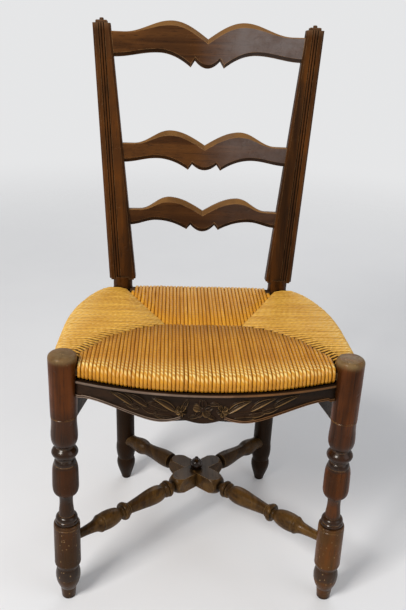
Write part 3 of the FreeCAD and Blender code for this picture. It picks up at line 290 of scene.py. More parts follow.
# %% A helper that starts a node group
def start_group(name, inputs, outputs):
    """A new shader group with its sockets, and its input and output nodes."""
    group = bpy.data.node_groups.new(name, "ShaderNodeTree")
    for title, kind, value in inputs:
        socket = group.interface.new_socket(name=title, in_out="INPUT", socket_type=kind)
        if value is not None:
            socket.default_value = value
    for title, kind in outputs:
        group.interface.new_socket(name=title, in_out="OUTPUT", socket_type=kind)
    return group, group.nodes.new("NodeGroupInput"), group.nodes.new("NodeGroupOutput")


def place_group(tree, group, feeds):
    """Put a group into a material's tree."""
    node = tree.nodes.new("ShaderNodeGroup")
    node.node_tree = group
    return feed(tree, node, feeds)


print("group helpers are ready")


# %% Grain: streaks, broad figure and pores along Z of the vector it is given
def make_grain_group():
    """Wood grain whose fibres run along the Z of its vector."""
    group, given, result = start_group(
        "wood_grain",
        [("Vector", "NodeSocketVector", None), ("Fibres", "NodeSocketFloat", 150.0)],
        [("Streaks", "NodeSocketFloat"), ("Figure", "NodeSocketFloat"),
         ("Pores", "NodeSocketFloat"), ("Height", "NodeSocketFloat")])
    stretched = put(group, "ShaderNodeVectorMath", {0: given.outputs["Vector"], 1: (1.0, 1.0, 0.045)},
                    operation="MULTIPLY").outputs[0]
    streaks = remap(group, noise_of(group, stretched, given.outputs["Fibres"], 5.0, 0.62, 0.4), 0.32, 0.68)
    figure = remap(group, noise_of(group, stretched, 34.0, 3.0, 0.5, 1.3), 0.34, 0.68)
    pits = remap(group, noise_of(group, stretched, 620.0, 1.0), 0.60, 0.72)
    height = plus(group, times(group, streaks, 0.5), times(group, pits, -0.8))
    for title, value in (("Streaks", streaks), ("Figure", figure), ("Pores", pits), ("Height", height)):
        group.links.new(value, result.inputs[title])
    return group


grain_group = make_grain_group()
print(grain_group.name, "has", len(grain_group.nodes), "nodes")


# %% Wear: rubbed edges from a rounded normal, and dirt where light hardly gets in
def make_wear_group():
    """Masks for rubbed edges and for dirt in hollows."""
    group, given, result = start_group(
        "edge_wear",
        [("Vector", "NodeSocketVector", None), ("Edge Width", "NodeSocketFloat", 0.0016),
         ("Hollow Reach", "NodeSocketFloat", 0.012)],
        [("Edges", "NodeSocketFloat"), ("Hollows", "NodeSocketFloat")])
    rounded = put(group, "ShaderNodeBevel", {"Radius": given.outputs["Edge Width"]}, samples=6)
    true_normal = group.nodes.new("ShaderNodeNewGeometry").outputs["Normal"]
    alike = put(group, "ShaderNodeVectorMath", {0: rounded.outputs[0], 1: true_normal},
                operation="DOT_PRODUCT").outputs["Value"]
    bent = remap(group, alike, 0.99, 0.93)
    patchy = remap(group, noise_of(group, given.outputs["Vector"], 70.0, 4.0, 0.6), 0.30, 0.62)
    around = put(group, "ShaderNodeAmbientOcclusion", {"Distance": given.outputs["Hollow Reach"]},
                 samples=6)
    hollows = remap(group, around.outputs["AO"], 0.92, 0.42)
    inside_out = maths(group, "SUBTRACT", 1.0, hollows, True)
    edges = times(group, times(group, bent, patchy), inside_out)
    group.links.new(edges, result.inputs["Edges"])
    group.links.new(hollows, result.inputs["Hollows"])
    return group


wear_group = make_wear_group()
print(wear_group.name, "has", len(wear_group.nodes), "nodes")


# %% Patina: drifting tone, small knocks and specks of old paint or dust
def make_patina_group():
    """Slow patches, dents and scattered pale specks."""
    group, given, result = start_group(
        "patina",
        [("Vector", "NodeSocketVector", None), ("Speck Size", "NodeSocketFloat", 260.0)],
        [("Patches", "NodeSocketFloat"), ("Knocks", "NodeSocketFloat"), ("Specks", "NodeSocketFloat")])
    slow = noise_of(group, given.outputs["Vector"], 16.0, 3.0, 0.55)
    knocks = noise_of(group, given.outputs["Vector"], 95.0, 2.0)
    ragged = put(group, "ShaderNodeTexNoise", {"Vector": given.outputs["Vector"], "Scale": 650.0,
                 "Detail": 2.0})
    torn = put(group, "ShaderNodeVectorMath", {0: ragged.outputs["Color"], 1: (0.003, 0.003, 0.003),
               2: given.outputs["Vector"]}, operation="MULTIPLY_ADD").outputs[0]
    cells = put(group, "ShaderNodeTexVoronoi", {"Vector": torn, "Scale": given.outputs["Speck Size"],
                "Randomness": 1.0}, feature="F1")
    few = maths(group, "GREATER_THAN", put(group, "ShaderNodeSeparateColor",
                {0: cells.outputs["Color"]}).outputs[0], 0.88)
    small = remap(group, cells.outputs["Distance"], 0.32, 0.14)
    group.links.new(remap(group, slow, 0.34, 0.66), result.inputs["Patches"])
    group.links.new(remap(group, knocks, 0.60, 0.75), result.inputs["Knocks"])
    group.links.new(times(group, few, small), result.inputs["Specks"])
    return group


patina_group = make_patina_group()
print("groups:", [group.name for group in bpy.data.node_groups])

# %% [markdown]
# ## The woods
# Each wood is one function's work: it turns the object's own coordinates so that the grain runs along the
# piece, then lays dark and light wood, drifting patches, dirt and rubbed edges over each other. What only
# one piece has, such as dark polished rings, and the painted light and shade of some pieces, comes in as
# masks made from the height or the facing of the surface.

# %% The recipe that all woods share
def grain_vector(tree, turn):
    """Object coordinates turned so that the piece's length becomes Z."""
    return put(tree, "ShaderNodeMapping", {"Vector": place_of(tree), "Rotation": turn},
               vector_type="POINT").outputs[0]


def wood_layers(tree, turn, tones, fibres=150.0, edge_width=0.0016, hollow_reach=0.012):
    """Grain, patches, wear and dirt for one wood; tones are dark, middle, light and rubbed."""
    vector = grain_vector(tree, turn)
    grain = place_group(tree, grain_group, {"Vector": vector, "Fibres": fibres})
    wear = place_group(tree, wear_group, {"Vector": vector, "Edge Width": edge_width,
                       "Hollow Reach": hollow_reach})
    patina = place_group(tree, patina_group, {"Vector": vector})
    colour = blend_colours(tree, grain.outputs["Streaks"], tones["dark"], tones["middle"])
    colour = blend_colours(tree, times(tree, grain.outputs["Figure"], 0.75), colour, tones["light"])
    colour = blend_colours(tree, times(tree, patina.outputs["Patches"], 0.45), colour, tones["dark"])
    colour = blend_colours(tree, times(tree, grain.outputs["Pores"], 0.5), colour, tones["dirt"])
    return {"colour": colour, "grain": grain, "wear": wear, "patina": patina, "vector": vector}


WAX_TINT = (1.0, 0.80, 0.60, 1.0)


def finish_wood(tree, out, layers, tones, gloss, coat, bump=0.0005, edge_share=0.8, dirt_share=0.85):
    """Dirt, rubbed edges, roughness and bump, into one Principled shader."""
    edges = times(tree, layers["wear"].outputs["Edges"], edge_share)
    dirt = times(tree, layers["wear"].outputs["Hollows"], dirt_share)
    colour = blend_colours(tree, dirt, layers["colour"], tones["dirt"])
    colour = blend_colours(tree, edges, colour, tones["rubbed"])
    dull = times(tree, layers["patina"].outputs["Patches"], 0.16)
    dull = plus(tree, dull, times(tree, layers["grain"].outputs["Pores"], 0.18))
    dull = plus(tree, dull, times(tree, dirt, 0.12))
    rough = plus(tree, dull, gloss, True)
    knocks = times(tree, layers["patina"].outputs["Knocks"], -1.6)
    height = plus(tree, layers["grain"].outputs["Height"], knocks)
    relief = put(tree, "ShaderNodeBump", {"Height": height, "Distance": bump, "Strength": 0.6})
    shader = put(tree, "ShaderNodeBsdfPrincipled", {"Base Color": colour, "Roughness": rough,
                 "Normal": relief.outputs[0], "Coat Weight": coat, "Coat Roughness": 0.16,
                 "Specular IOR Level": 0.12, "Specular Tint": WAX_TINT})
    tree.links.new(shader.outputs[0], out.inputs["Surface"])


def facing_up(tree):
    """How much the surface faces up (1) or down (-1)."""
    normal = tree.nodes.new("ShaderNodeNewGeometry").outputs["Normal"]
    return put(tree, "ShaderNodeSeparateXYZ", {0: normal}).outputs["Z"]


def dress(node_names, material):
    """Give CAD nodes their material."""
    for name in node_names:
        mesh = nodes[name].data
        mesh.materials.clear()
        mesh.materials.append(material)
        mesh.polygons.foreach_set("material_index", [0] * len(mesh.polygons))
    print(material.name, "on", len(node_names), "pieces")


# %% [markdown]
# ## Front legs
# The legs were turned on a lathe from one length of wood and waxed over and over. Barrel, bulb and shaft
# glow red-brown. The rings and shoulders that a rag rubs shine and are painted nearly black, partly for
# their wax and partly as painted shade in the grooves and a painted dark reflection on the shoulders that
# face up. The blocks and feet, which shoes and brooms knock, are scuffed to a yellower brown with specks of
# old paint. All of this goes by height, so stops at the heights of the turnings read the masks off the
# distance from the floor.

# %% Front leg wood
LEG_TOP = 0.4845
LEG_TONES = {"dark": paint(38, 16, 3), "middle": paint(72, 34, 7), "light": paint(122, 62, 16),
             "dirt": paint(12, 7, 3), "rubbed": paint(150, 108, 62)}
# Each stop is a height in metres and how dark and shiny the turning is there. The darkness is partly its
# wax and partly painted shade in the grooves and a painted dark reflection on the shoulders that face up.
BURNISHED_AND_SHADED = [(0.0, 0.35), (0.020, 0.30), (0.024, 0.55), (0.036, 0.15), (0.044, 0.10), (0.048, 0.75),
             (0.064, 0.85), (0.074, 0.60), (0.080, 0.12), (0.150, 0.10), (0.154, 0.30), (0.160, 0.20),
             (0.163, 0.85), (0.178, 0.92), (0.184, 0.45), (0.200, 0.35), (0.219, 0.75), (0.223, 0.25),
             (0.232, 0.08), (0.276, 0.10), (0.281, 0.90), (0.292, 1.0), (0.297, 0.90), (0.312, 0.80),
             (0.318, 1.0), (0.324, 0.60), (0.335, 0.38), (0.370, 0.32), (0.374, 0.14), (0.484, 0.08)]
SCUFFED = [(0.0, 0.95), (0.060, 0.85), (0.075, 0.75), (0.150, 0.80), (0.1585, 1.0), (0.163, 0.35),
           (0.180, 0.30), (0.219, 0.25), (0.224, 0.05), (0.300, 0.12), (0.330, 0.0), (0.465, 0.0),
           (0.477, 0.75), (0.484, 0.80)]


def front_leg_wood():
    """Turned walnut, shiny on the rings and painted nearly black there, partly for its wax and partly as
    painted shade, scuffed towards the foot.
    """
    material, tree, out = fresh_material("front_leg_walnut")
    layers = wood_layers(tree, (0.0, 0.0, 0.0), LEG_TONES, fibres=130.0)
    share = maths(tree, "DIVIDE", axis_of(tree, "Z"), LEG_TOP)
    burnished_and_shaded = curve_of(tree, share, [(height / LEG_TOP, level) for height, level in BURNISHED_AND_SHADED])
    scuffed = curve_of(tree, share, [(height / LEG_TOP, level) for height, level in SCUFFED])
    left = remap(tree, axis_of(tree, "X"), 0.1, -0.1)
    left = times(tree, left, remap(tree, axis_of(tree, "Z"), 0.40, 0.37, 0.16, 0.60))
    broken = remap(tree, noise_of(tree, layers["vector"], 42.0, 5.0, 0.7), 0.25, 0.65, 0.35, 1.0)
    colour = blend_colours(tree, times(tree, scuffed, times(tree, broken, 0.62)),
                           layers["colour"], paint(96, 68, 30))
    # Rings and shoulders darkened: partly their wax, partly painted shade in the grooves and a painted dark
    # reflection on the shoulders that face up
    colour = blend_colours(tree, times(tree, burnished_and_shaded, 0.88), colour, paint(22, 13, 8))
    specks = times(tree, layers["patina"].outputs["Specks"], scuffed)
    colour = blend_colours(tree, left, colour, paint(30, 18, 10))
    tops = times(tree, remap(tree, axis_of(tree, "Z"), 0.468, 0.478, 0.0, 0.6), broken)
    colour = blend_colours(tree, tops, colour, paint(136, 114, 80))
    layers["colour"] = blend_colours(tree, specks, colour, paint(158, 126, 84))
    finish_wood(tree, out, layers, LEG_TONES, gloss=0.28, coat=scaled(tree, burnished_and_shaded, 0.45, 0.03))
    return material


dress(["front_leg_left", "front_leg_right"], front_leg_wood())

# %% [markdown]
# ## Rear posts
# The posts are duller than the legs, brown above the seat and painted nearly black below it as painted
# shade under the seat. Their tops are rubbed by every hand that moves the chair. Their grain leans back
# with them, which a small turn of the coordinates gives.

# %% Rear post wood
POST_TONES = {"dark": paint(38, 19, 5), "middle": paint(62, 35, 11), "light": paint(94, 53, 17),
              "dirt": paint(17, 11, 6), "rubbed": paint(126, 94, 60)}
POST_LEAN = math.radians(7.96)


def rear_post_wood():
    """Waxed dark walnut with tips rubbed pale, painted nearly black below the seat as painted shade."""
    material, tree, out = fresh_material("rear_post_walnut")
    layers = wood_layers(tree, (POST_LEAN, 0.0, 0.0), POST_TONES, fibres=120.0, edge_width=0.0012,
                         hollow_reach=0.008)
    # Painted shade: below the seat the posts are painted nearly black
    shaded = remap(tree, axis_of(tree, "Z"), 0.455, 0.425, 0.0, 0.85)
    layers["colour"] = blend_colours(tree, shaded, layers["colour"], paint(18, 9, 4))
    tips = remap(tree, axis_of(tree, "Z"), 0.918, 0.936)
    layers["colour"] = blend_colours(tree, times(tree, tips, 0.5), layers["colour"],
                                     paint(112, 82, 58))
    finish_wood(tree, out, layers, POST_TONES, gloss=0.36, coat=0.03)
    return material


dress(["rear_post_left", "rear_post_right"], rear_post_wood())

# %% [markdown]
# ## Slats
# The slats were sawn to their scrolled outline, and their front arrises were cut back to a wide chamfer
# above and a hollow one below. The upper chamfer, which faces the light, is painted tan, partly rubbed by
# backs and hands and partly painted light. The lower one is painted dark as painted shade, and a thin pale
# line follows the lower arris. The facing of the surface tells these faces apart. The lower slats are
# deeper in colour, and the right half of each has a grey painted sheen, a painted reflection, most of all
# on the top.

# %% Slat wood
SLAT_TONES = {"dark": paint(54, 30, 12), "middle": paint(76, 45, 20), "light": paint(104, 65, 30),
              "dirt": paint(20, 12, 8), "rubbed": paint(158, 118, 76)}


def slat_wood():
    """Waxed walnut with a tan upper chamfer, partly rubbed and partly painted light, a lower one painted
    dark as painted shade, and a grey painted sheen on the right.
    """
    material, tree, out = fresh_material("slat_walnut")
    layers = wood_layers(tree, (0.0, math.radians(90.0), 0.0), SLAT_TONES, fibres=110.0,
                         edge_width=0.0018, hollow_reach=0.006)
    # Painted reflection: a grey painted sheen on the right half of each slat, strongest on the top slat
    higher = remap(tree, axis_of(tree, "Z"), 0.58, 0.86, 0.12, 0.85)
    cloudy = remap(tree, noise_of(tree, place_of(tree), 28.0, 6.0, 0.7), 0.3, 0.65, 0.55, 1.0)
    right_half = remap(tree, axis_of(tree, "X"), -0.03, 0.07)
    painted_sheen = times(tree, times(tree, right_half, higher), cloudy)
    deeper = blend_colours(tree, remap(tree, axis_of(tree, "Z"), 0.80, 0.58, 0.0, 0.40), layers["colour"],
                           paint(30, 14, 4))
    colour = blend_colours(tree, painted_sheen, deeper, paint(106, 98, 96))
    # Painted light: the upper chamfer, facing up to the light, is painted tan, partly rubbed wear
    upward = facing_up(tree)
    rubbed_and_lit_share = remap(tree, layers["patina"].outputs["Patches"], 0.0, 1.0, 0.55, 0.95)
    upper = times(tree, remap(tree, upward, 0.42, 0.66), rubbed_and_lit_share)
    colour = blend_colours(tree, upper, colour, paint(122, 86, 46))
    # Painted shade: the lower chamfer, facing down, is painted dark
    lower = remap(tree, upward, -0.2, -0.5)
    layers["colour"] = blend_colours(tree, times(tree, lower, 0.8), colour, paint(24, 15, 9))
    finish_wood(tree, out, layers, SLAT_TONES, gloss=0.34, coat=0.06, edge_share=0.9)
    return material


dress(["top_slat", "middle_slat", "lower_slat"], slat_wood())

# %% [markdown]
# ## Stretchers, finial, side aprons and rails
# Feet have polished the crossed stretchers to a rubbed yellow-brown in front, and left dark wax in every
# groove. Towards the back they are painted darker, as painted shade under the seat, and on the flat tops
# where they cross they are darker too. The little ball on the crossing is almost black and shiny. The side
# aprons are plain dark boards, and the rails inside the rush are brown unwaxed wood.

# %% Woods below the seat
STRETCHER_TONES = {"dark": paint(44, 28, 12), "middle": paint(76, 52, 24), "light": paint(112, 80, 38),
                   "dirt": paint(18, 12, 6), "rubbed": paint(140, 108, 62)}
APRON_TONES = {"dark": paint(17, 10, 6), "middle": paint(29, 18, 12), "light": paint(50, 31, 18),
               "dirt": paint(7, 5, 3), "rubbed": paint(150, 122, 92)}
RAIL_TONES = {"dark": paint(50, 33, 18), "middle": paint(68, 46, 26), "light": paint(90, 64, 38),
              "dirt": paint(30, 20, 12), "rubbed": paint(120, 90, 58)}
STRETCHER_TURN = math.radians(44.0)
CROSSING = (0.0, -0.009, 0.132)


def plain_wood(name, turn, tones, gloss, coat, fibres=130.0, hollow_reach=0.010):
    """A wood with no mask of its own."""
    material, tree, out = fresh_material(name)
    layers = wood_layers(tree, turn, tones, fibres=fibres, hollow_reach=hollow_reach)
    finish_wood(tree, out, layers, tones, gloss=gloss, coat=coat)
    return material


def stretcher_wood(name, turn):
    """Worn turned wood, darker on the flat tops at the crossing, and painted darker towards the back as
    shade under the seat.
    """
    material, tree, out = fresh_material(name)
    layers = wood_layers(tree, turn, STRETCHER_TONES, hollow_reach=0.016)
    # Painted shade: the stretchers are painted darker towards the back, under the seat
    behind = remap(tree, axis_of(tree, "Y"), -0.02, 0.08, 0.0, 0.62)
    away = put(tree, "ShaderNodeVectorMath", {0: place_of(tree), 1: CROSSING}, operation="DISTANCE")
    near_crossing = remap(tree, away.outputs["Value"], 0.085, 0.055)
    flat = times(tree, remap(tree, facing_up(tree), 0.975, 0.995), 0.6)
    darker_flat_tops = times(tree, flat, near_crossing)
    colour = blend_colours(tree, darker_flat_tops, layers["colour"], paint(34, 24, 16))
    layers["colour"] = blend_colours(tree, behind, colour, paint(26, 15, 8))
    finish_wood(tree, out, layers, STRETCHER_TONES, gloss=0.30, coat=0.10)
    return material


lying = math.radians(90.0)
dress(["stretcher_front_left_to_rear_right"],
      stretcher_wood("stretcher_walnut_one", (lying, 0.0, STRETCHER_TURN)))
dress(["stretcher_front_right_to_rear_left"],
      stretcher_wood("stretcher_walnut_two", (lying, 0.0, -STRETCHER_TURN)))
dress(["stretcher_finial"], plain_wood("finial_wood", (0.0, 0.0, 0.0), APRON_TONES, 0.18, 0.6))
dress(["left_side_apron", "right_side_apron"],
      plain_wood("side_apron_wood", (lying, 0.0, 0.0), APRON_TONES, 0.42, 0.05))
dress(["front_seat_rail", "rear_seat_rail"],
      plain_wood("rail_wood_across", (0.0, lying, 0.0), RAIL_TONES, 0.65, 0.0))
dress(["left_seat_rail", "right_seat_rail"],
      plain_wood("rail_wood_deep", (lying, 0.0, 0.0), RAIL_TONES, 0.65, 0.0))

# %% [markdown]
# ## Measuring the frame
# The seat and its apron drop a little to the back, so they are laid out level and then turned
# together about a line through the front legs. To sit exactly where their solids do, the new
# pieces are measured off them: a ray sent at a solid in the level layout gives the place of its
# edge, as a finger run along the bench would.

# %% Level layout and probes
LEG_LINE_Y = -0.191805
SEAT_TOP = 0.467
SEAT_UNDER = 0.439
SEAT_TILT = math.radians(2.127)


def laid(x, y, z):
    """A point of the level layout, put in its place in the chair."""
    rise = z - SEAT_TOP
    return Vector((x, LEG_LINE_Y + y * math.cos(SEAT_TILT) + rise * math.sin(SEAT_TILT),
                   SEAT_TOP - y * math.sin(SEAT_TILT) + rise * math.cos(SEAT_TILT)))


def unlaid(point):
    """The level layout's coordinates of a point of the chair."""
    y = point.y - LEG_LINE_Y
    rise = point.z - SEAT_TOP
    return Vector((point.x, y * math.cos(SEAT_TILT) - rise * math.sin(SEAT_TILT),
                   SEAT_TOP + y * math.sin(SEAT_TILT) + rise * math.cos(SEAT_TILT)))


def solid_tree(name):
    """A CAD node's triangles, ready for rays."""
    mesh = nodes[name].data
    mesh.calc_loop_triangles()
    points = [vertex.co.copy() for vertex in mesh.vertices]
    return BVHTree.FromPolygons(points, [tuple(face.vertices) for face in mesh.loop_triangles])


def probe(tree, start, toward):
    """Where a ray in the level layout meets a solid, or None."""
    origin = laid(*start)
    direction = laid(start[0] + toward[0], start[1] + toward[1], start[2] + toward[2]) - origin
    hit = tree.ray_cast(origin, direction.normalized())[0]
    return None if hit is None else unlaid(hit)


def deselect_all():
    """Nothing selected and nothing active, so that an operator meets only what it should."""
    bpy.ops.object.select_all(action="DESELECT")


def make_active(piece):
    """Select one object alone."""
    deselect_all()
    piece.select_set(True)
    bpy.context.view_layer.objects.active = piece


front_shell = solid_tree("rush_front")
print("the front of the rush is at y", round(probe(front_shell, (0.0, -0.3, 0.453), (0, 1, 0)).y, 4))

# %% [markdown]
# ## One strand of rush
# Rush is twisted from leaves into a cord while the seat is woven. Each turn of the cord comes up
# at the seam, runs out over the rail, round its edge, and back underneath. Modelled as one long
# cord it would be endless, so each turn is its own closed strand: a five-sided rod, cut into short
# lengths, that is copied for every turn and bent along that turn's run. A few dozen faces are
# enough, because smooth shading rounds it and the material gives it its twist.

# %% Make the straight strand
STRAND_STATIONS = 14
STRAND_SIDES = 5


def make_strand():
    """A straight rod of unit length, cut crosswise into equal lengths."""
    deselect_all()
    bpy.ops.mesh.primitive_cylinder_add(vertices=STRAND_SIDES, radius=0.5, depth=1.0, end_fill_type="NGON")
    rod = bpy.context.object
    rod.name = "strand_model"
    bpy.ops.object.mode_set(mode="EDIT")
    bpy.ops.mesh.select_mode(type="EDGE")
    bpy.ops.mesh.select_all(action="DESELECT")
    bpy.ops.object.mode_set(mode="OBJECT")
    for edge in rod.data.edges:
        first, second = (rod.data.vertices[index].co for index in edge.vertices)
        edge.select = abs(first.z - second.z) > 0.5
    bpy.ops.object.mode_set(mode="EDIT")
    bpy.ops.mesh.subdivide(number_cuts=STRAND_STATIONS - 2)
    bpy.ops.object.mode_set(mode="OBJECT")
    return rod


def strand_order(rod):
    """For each vertex of the rod, its station along it and its side around it."""
    order = []
    for vertex in rod.data.vertices:
        station = round((vertex.co.z + 0.5) * (STRAND_STATIONS - 1))
        around = math.atan2(vertex.co.y, vertex.co.x) / (2.0 * math.pi / STRAND_SIDES)
        order.append((station, round(around) % STRAND_SIDES))
    return order


strand_model = make_strand()
strand_places = strand_order(strand_model)
print("strand:", len(strand_model.data.vertices), "vertices,", len(strand_model.data.polygons), "faces")

# %% [markdown]
# ## Bending a strand along its turn
# In the upright plane of its run a turn is a flat loop: down in the seam, up and out over the
# wad, round the rail with a wider bend above than below, and back. Sideways it wanders a little,
# as hand work does. Of the rod's five corners, four lie over the outer half, which shows.

# %% The loop of one turn
TOP_BEND = 0.011
UNDER_BEND = 0.009
TOP_BEND_ANGLES = (88.0, 60.0, 32.0, 4.0)
UNDER_BEND_ANGLES = (-12.0, -60.0)
# Where a strand dives into the seam from above and comes back below: how far out, and how far
# up from its level run
SEAM_DIVE = [(-0.0015, -0.0085), (0.0022, -0.0024)]
SEAM_RETURN = [(0.0035, 0.0008), (-0.0010, 0.0060)]
# Shares of the run at which its level part has stations
TOP_SHARES = (0.30, 0.70)
UNDER_SHARES = (0.90, 0.45)
SEAM_SHIFT = 0.004


def turn_outline(reach, radius, lift):
    """Distance from the seam and height of a turn's middle line, with its share of wear and painted
    highlight at the top bend.
    """
    top = SEAT_TOP - radius
    low = SEAT_UNDER + radius
    bend = TOP_BEND - radius
    under = UNDER_BEND - radius
    run = reach - TOP_BEND
    run_below = reach - UNDER_BEND
    points = [(out_by, top + rise, 0.0) for out_by, rise in SEAM_DIVE]
    points += [(run * share + SEAM_SHIFT * (1.0 - share), top + lift, 0.0) for share in TOP_SHARES]
    for angle in TOP_BEND_ANGLES:
        leaning = math.radians(angle)
        points.append((run + bend * math.cos(leaning), SEAT_TOP - TOP_BEND + bend * math.sin(leaning)
                       + lift * math.sin(leaning), math.sin(leaning)))
    for angle in UNDER_BEND_ANGLES:
        leaning = math.radians(angle)
        points.append((run_below + under * math.cos(leaning),
                       SEAT_UNDER + UNDER_BEND + under * math.sin(leaning), 0.0))
    points += [(run_below * UNDER_SHARES[0], low, 0.0), (run * UNDER_SHARES[1], low, 0.0)]
    points += [(out_by, low + rise, 0.0) for out_by, rise in SEAM_RETURN]
    return points


print("stations in a turn:", len(turn_outline(0.1, 0.003, 0.0)))


# %% The strand's cross-sections
# Corners of a cross-section: 0 and 180 lie beside the run, 90 faces away from the seat's inside
SIDE_ANGLES = [0.0, 60.0, 120.0, 180.0, 270.0]
OUTER_FLATNESS = 0.96
INNER_FLATNESS = 0.75
END_GIRTH = 0.7


def corner(point, heading, across, outward, girth, angle):
    """One corner of the cross-section at a point of the run."""
    side = girth * math.cos(math.radians(angle))
    flatness = OUTER_FLATNESS if angle <= 180.0 else INNER_FLATNESS
    rise = girth * math.sin(math.radians(angle)) * flatness
    return laid(point[0] + across[0] * side + heading[0] * outward[0] * rise,
                point[1] + across[1] * side + heading[1] * outward[0] * rise,
                point[2] + outward[1] * rise)


def rings_along(outline, points, heading, across, girths):
    """The corners at every station, square to the run there."""
    rings = []
    for index, (point, girth) in enumerate(zip(points, girths)):
        before = outline[max(index - 1, 0)]
        after = outline[min(index + 1, len(outline) - 1)]
        run, rise = after[0] - before[0], after[1] - before[1]
        size = math.hypot(run, rise)
        outward = (-rise / size, run / size)
        rings.append([corner(point, heading, across, outward, girth, angle) for angle in SIDE_ANGLES])
    return rings


def lengths_along(points):
    """How far along the strand each station is."""
    lengths = [0.0]
    for before, after in zip(points, points[1:]):
        lengths.append(lengths[-1] + math.dist(after, before))
    return lengths


print("corners of a strand:", len(SIDE_ANGLES))


# %% Bend a copy of the rod along one turn
TONE_SHIFT = 3.0


def copied_rod(name, rings, attributes):
    """A copy of the rod with its corners moved to the rings, and its attributes."""
    strand = strand_model.copy()
    strand.data = strand_model.data.copy()
    strand.name = name
    bpy.context.scene.collection.objects.link(strand)
    places = [rings[station][side] for station, side in strand_places]
    strand.data.vertices.foreach_set("co", [value for point in places for value in point])
    for title, values in attributes.items():
        strand.data.attributes.new(title, "FLOAT", "POINT").data.foreach_set("value", values)
    return strand


def bent_strand(name, seam, heading, reach, radius, draw, sideways=None, thinning=None):
    """A strand laid along one turn; seam is its start, heading its way out."""
    across = (-heading[1], heading[0])
    lift = draw.uniform(-0.0003, 0.0005)
    width = radius * draw.uniform(0.95, 1.05)
    phase = draw.uniform(0.0, 6.28)
    sway = draw.uniform(0.0001, 0.0005)
    wave = draw.uniform(55.0, 110.0)
    tone = draw.random()
    outline = turn_outline(reach, radius, lift)
    points = []
    girths = []
    for out_by, height, _ in outline:
        shift = sway * math.sin(phase + out_by * wave)
        shift += sideways(out_by, height) if sideways else 0.0
        points.append((seam[0] + heading[0] * out_by + across[0] * shift,
                       seam[1] + heading[1] * out_by + across[1] * shift, height))
        girths.append(width * (thinning(out_by, height) if thinning else 1.0))
    for end in (0, -1):
        girths[end] *= END_GIRTH
    rings = rings_along(outline, points, heading, across, girths)
    lengths = lengths_along(points)
    return copied_rod(name, rings, {
        "along": [lengths[station] + tone * TONE_SHIFT for station, _ in strand_places],
        "around": [SIDE_ANGLES[side] / 360.0 for _, side in strand_places],
        "tone": [tone] * len(strand_places),
        "bend": [outline[station][2] for station, _ in strand_places]})


sample_turn = [(out_by, 0.0, height) for out_by, height, _ in turn_outline(0.1, 0.003, 0.0)]
print("a turn that reaches 0.1 m takes", round(lengths_along(sample_turn)[-1], 3), "m of strand")


# %% Join a section
def join_strands(name, strands, node):
    """Make one piece of a section's strands, with faces outward, in place of its solid."""
    deselect_all()
    for strand in strands:
        strand.select_set(True)
    bpy.context.view_layer.objects.active = strands[0]
    bpy.ops.object.join()
    section = bpy.context.object
    section.name = name
    bpy.ops.object.mode_set(mode="EDIT")
    bpy.ops.mesh.select_all(action="SELECT")
    bpy.ops.mesh.normals_make_consistent(inside=False)
    bpy.ops.object.mode_set(mode="OBJECT")
    bpy.ops.object.shade_smooth()
    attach(section, "root")
    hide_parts(node)
    print(name, len(strands), "strands,", len(section.data.polygons), "faces")
    return section


# %% [markdown]
# ## The four sections of the seat
# Rush goes round all four rails in turn, so the strands of the sections meet at right angles
# along four seams. The front and rear sections run front to back, and the side ones run left to
# right. The seams are the same lines as in the frame. Near the front corners the side strands
# are pulled forward and thinner, which leaves the dark gaps that show there.

# %% Seams of the seat
SEAM_TIP = (0.066, 0.163)
FRONT_SEAM = [(0.2235, 0.0), (0.200, 0.042), (0.160, 0.109), (0.112, 0.146), SEAM_TIP]
REAR_SEAM = [SEAM_TIP, (0.102, 0.240), (0.134, 0.313), (0.1515, 0.350)]
FRONT_STRANDS = 66
FRONT_REACH = 0.1975
SIDE_STRANDS = 46
SIDE_START = 0.0262
SIDE_END = 0.3330
REAR_STRANDS = 40
REAR_REACH = 0.1300
MIDDLE_HEIGHT = 0.453
# Half the width of a strand as a share of the step from one to the next
FRONT_GIRTH = 0.565
REAR_GIRTH = 0.55
SIDE_GIRTH = 0.48
PARTED_STRANDS = (27, 28)
PARTED_GIRTH = 0.86


def on_line(value, line, key, wanted):
    """Read one coordinate of a line of points at a value of the other."""
    ordered = sorted(line, key=lambda point: point[key])
    return float(np.interp(value, [point[key] for point in ordered], [point[wanted] for point in ordered]))


def front_seam_y(x):
    """Where the front section's strand at x meets its seam."""
    return SEAM_TIP[1] if abs(x) < SEAM_TIP[0] else on_line(abs(x), FRONT_SEAM, 0, 1)


def rear_seam_y(x):
    """Where the rear section's strand at x meets its seam."""
    return SEAM_TIP[1] if abs(x) < SEAM_TIP[0] else on_line(abs(x), REAR_SEAM, 0, 1)


def side_seam_x(y):
    """Where the side section's strand at y meets its seam."""
    return on_line(y, FRONT_SEAM if y < SEAM_TIP[1] else REAR_SEAM, 1, 0)


print("the front seam at x 0.16 is at y", front_seam_y(0.16))


# %% Front and rear sections
def front_strands(draw):
    """Strands from the front edge back to the seam."""
    pitch = 2.0 * FRONT_REACH / (FRONT_STRANDS - 1)
    strands = []
    for index in range(FRONT_STRANDS):
        x = -FRONT_REACH + pitch * index
        edge = probe(front_shell, (x, -0.3, MIDDLE_HEIGHT), (0, 1, 0)).y
        seam = front_seam_y(x)
        parted = PARTED_GIRTH if index in PARTED_STRANDS else 1.0
        strands.append(bent_strand(f"front_strand_{index:02d}", (x, seam), (0.0, -1.0), seam - edge,
                                   pitch * FRONT_GIRTH, draw,
                                   thinning=lambda out_by, height, share=parted: share))
    return strands


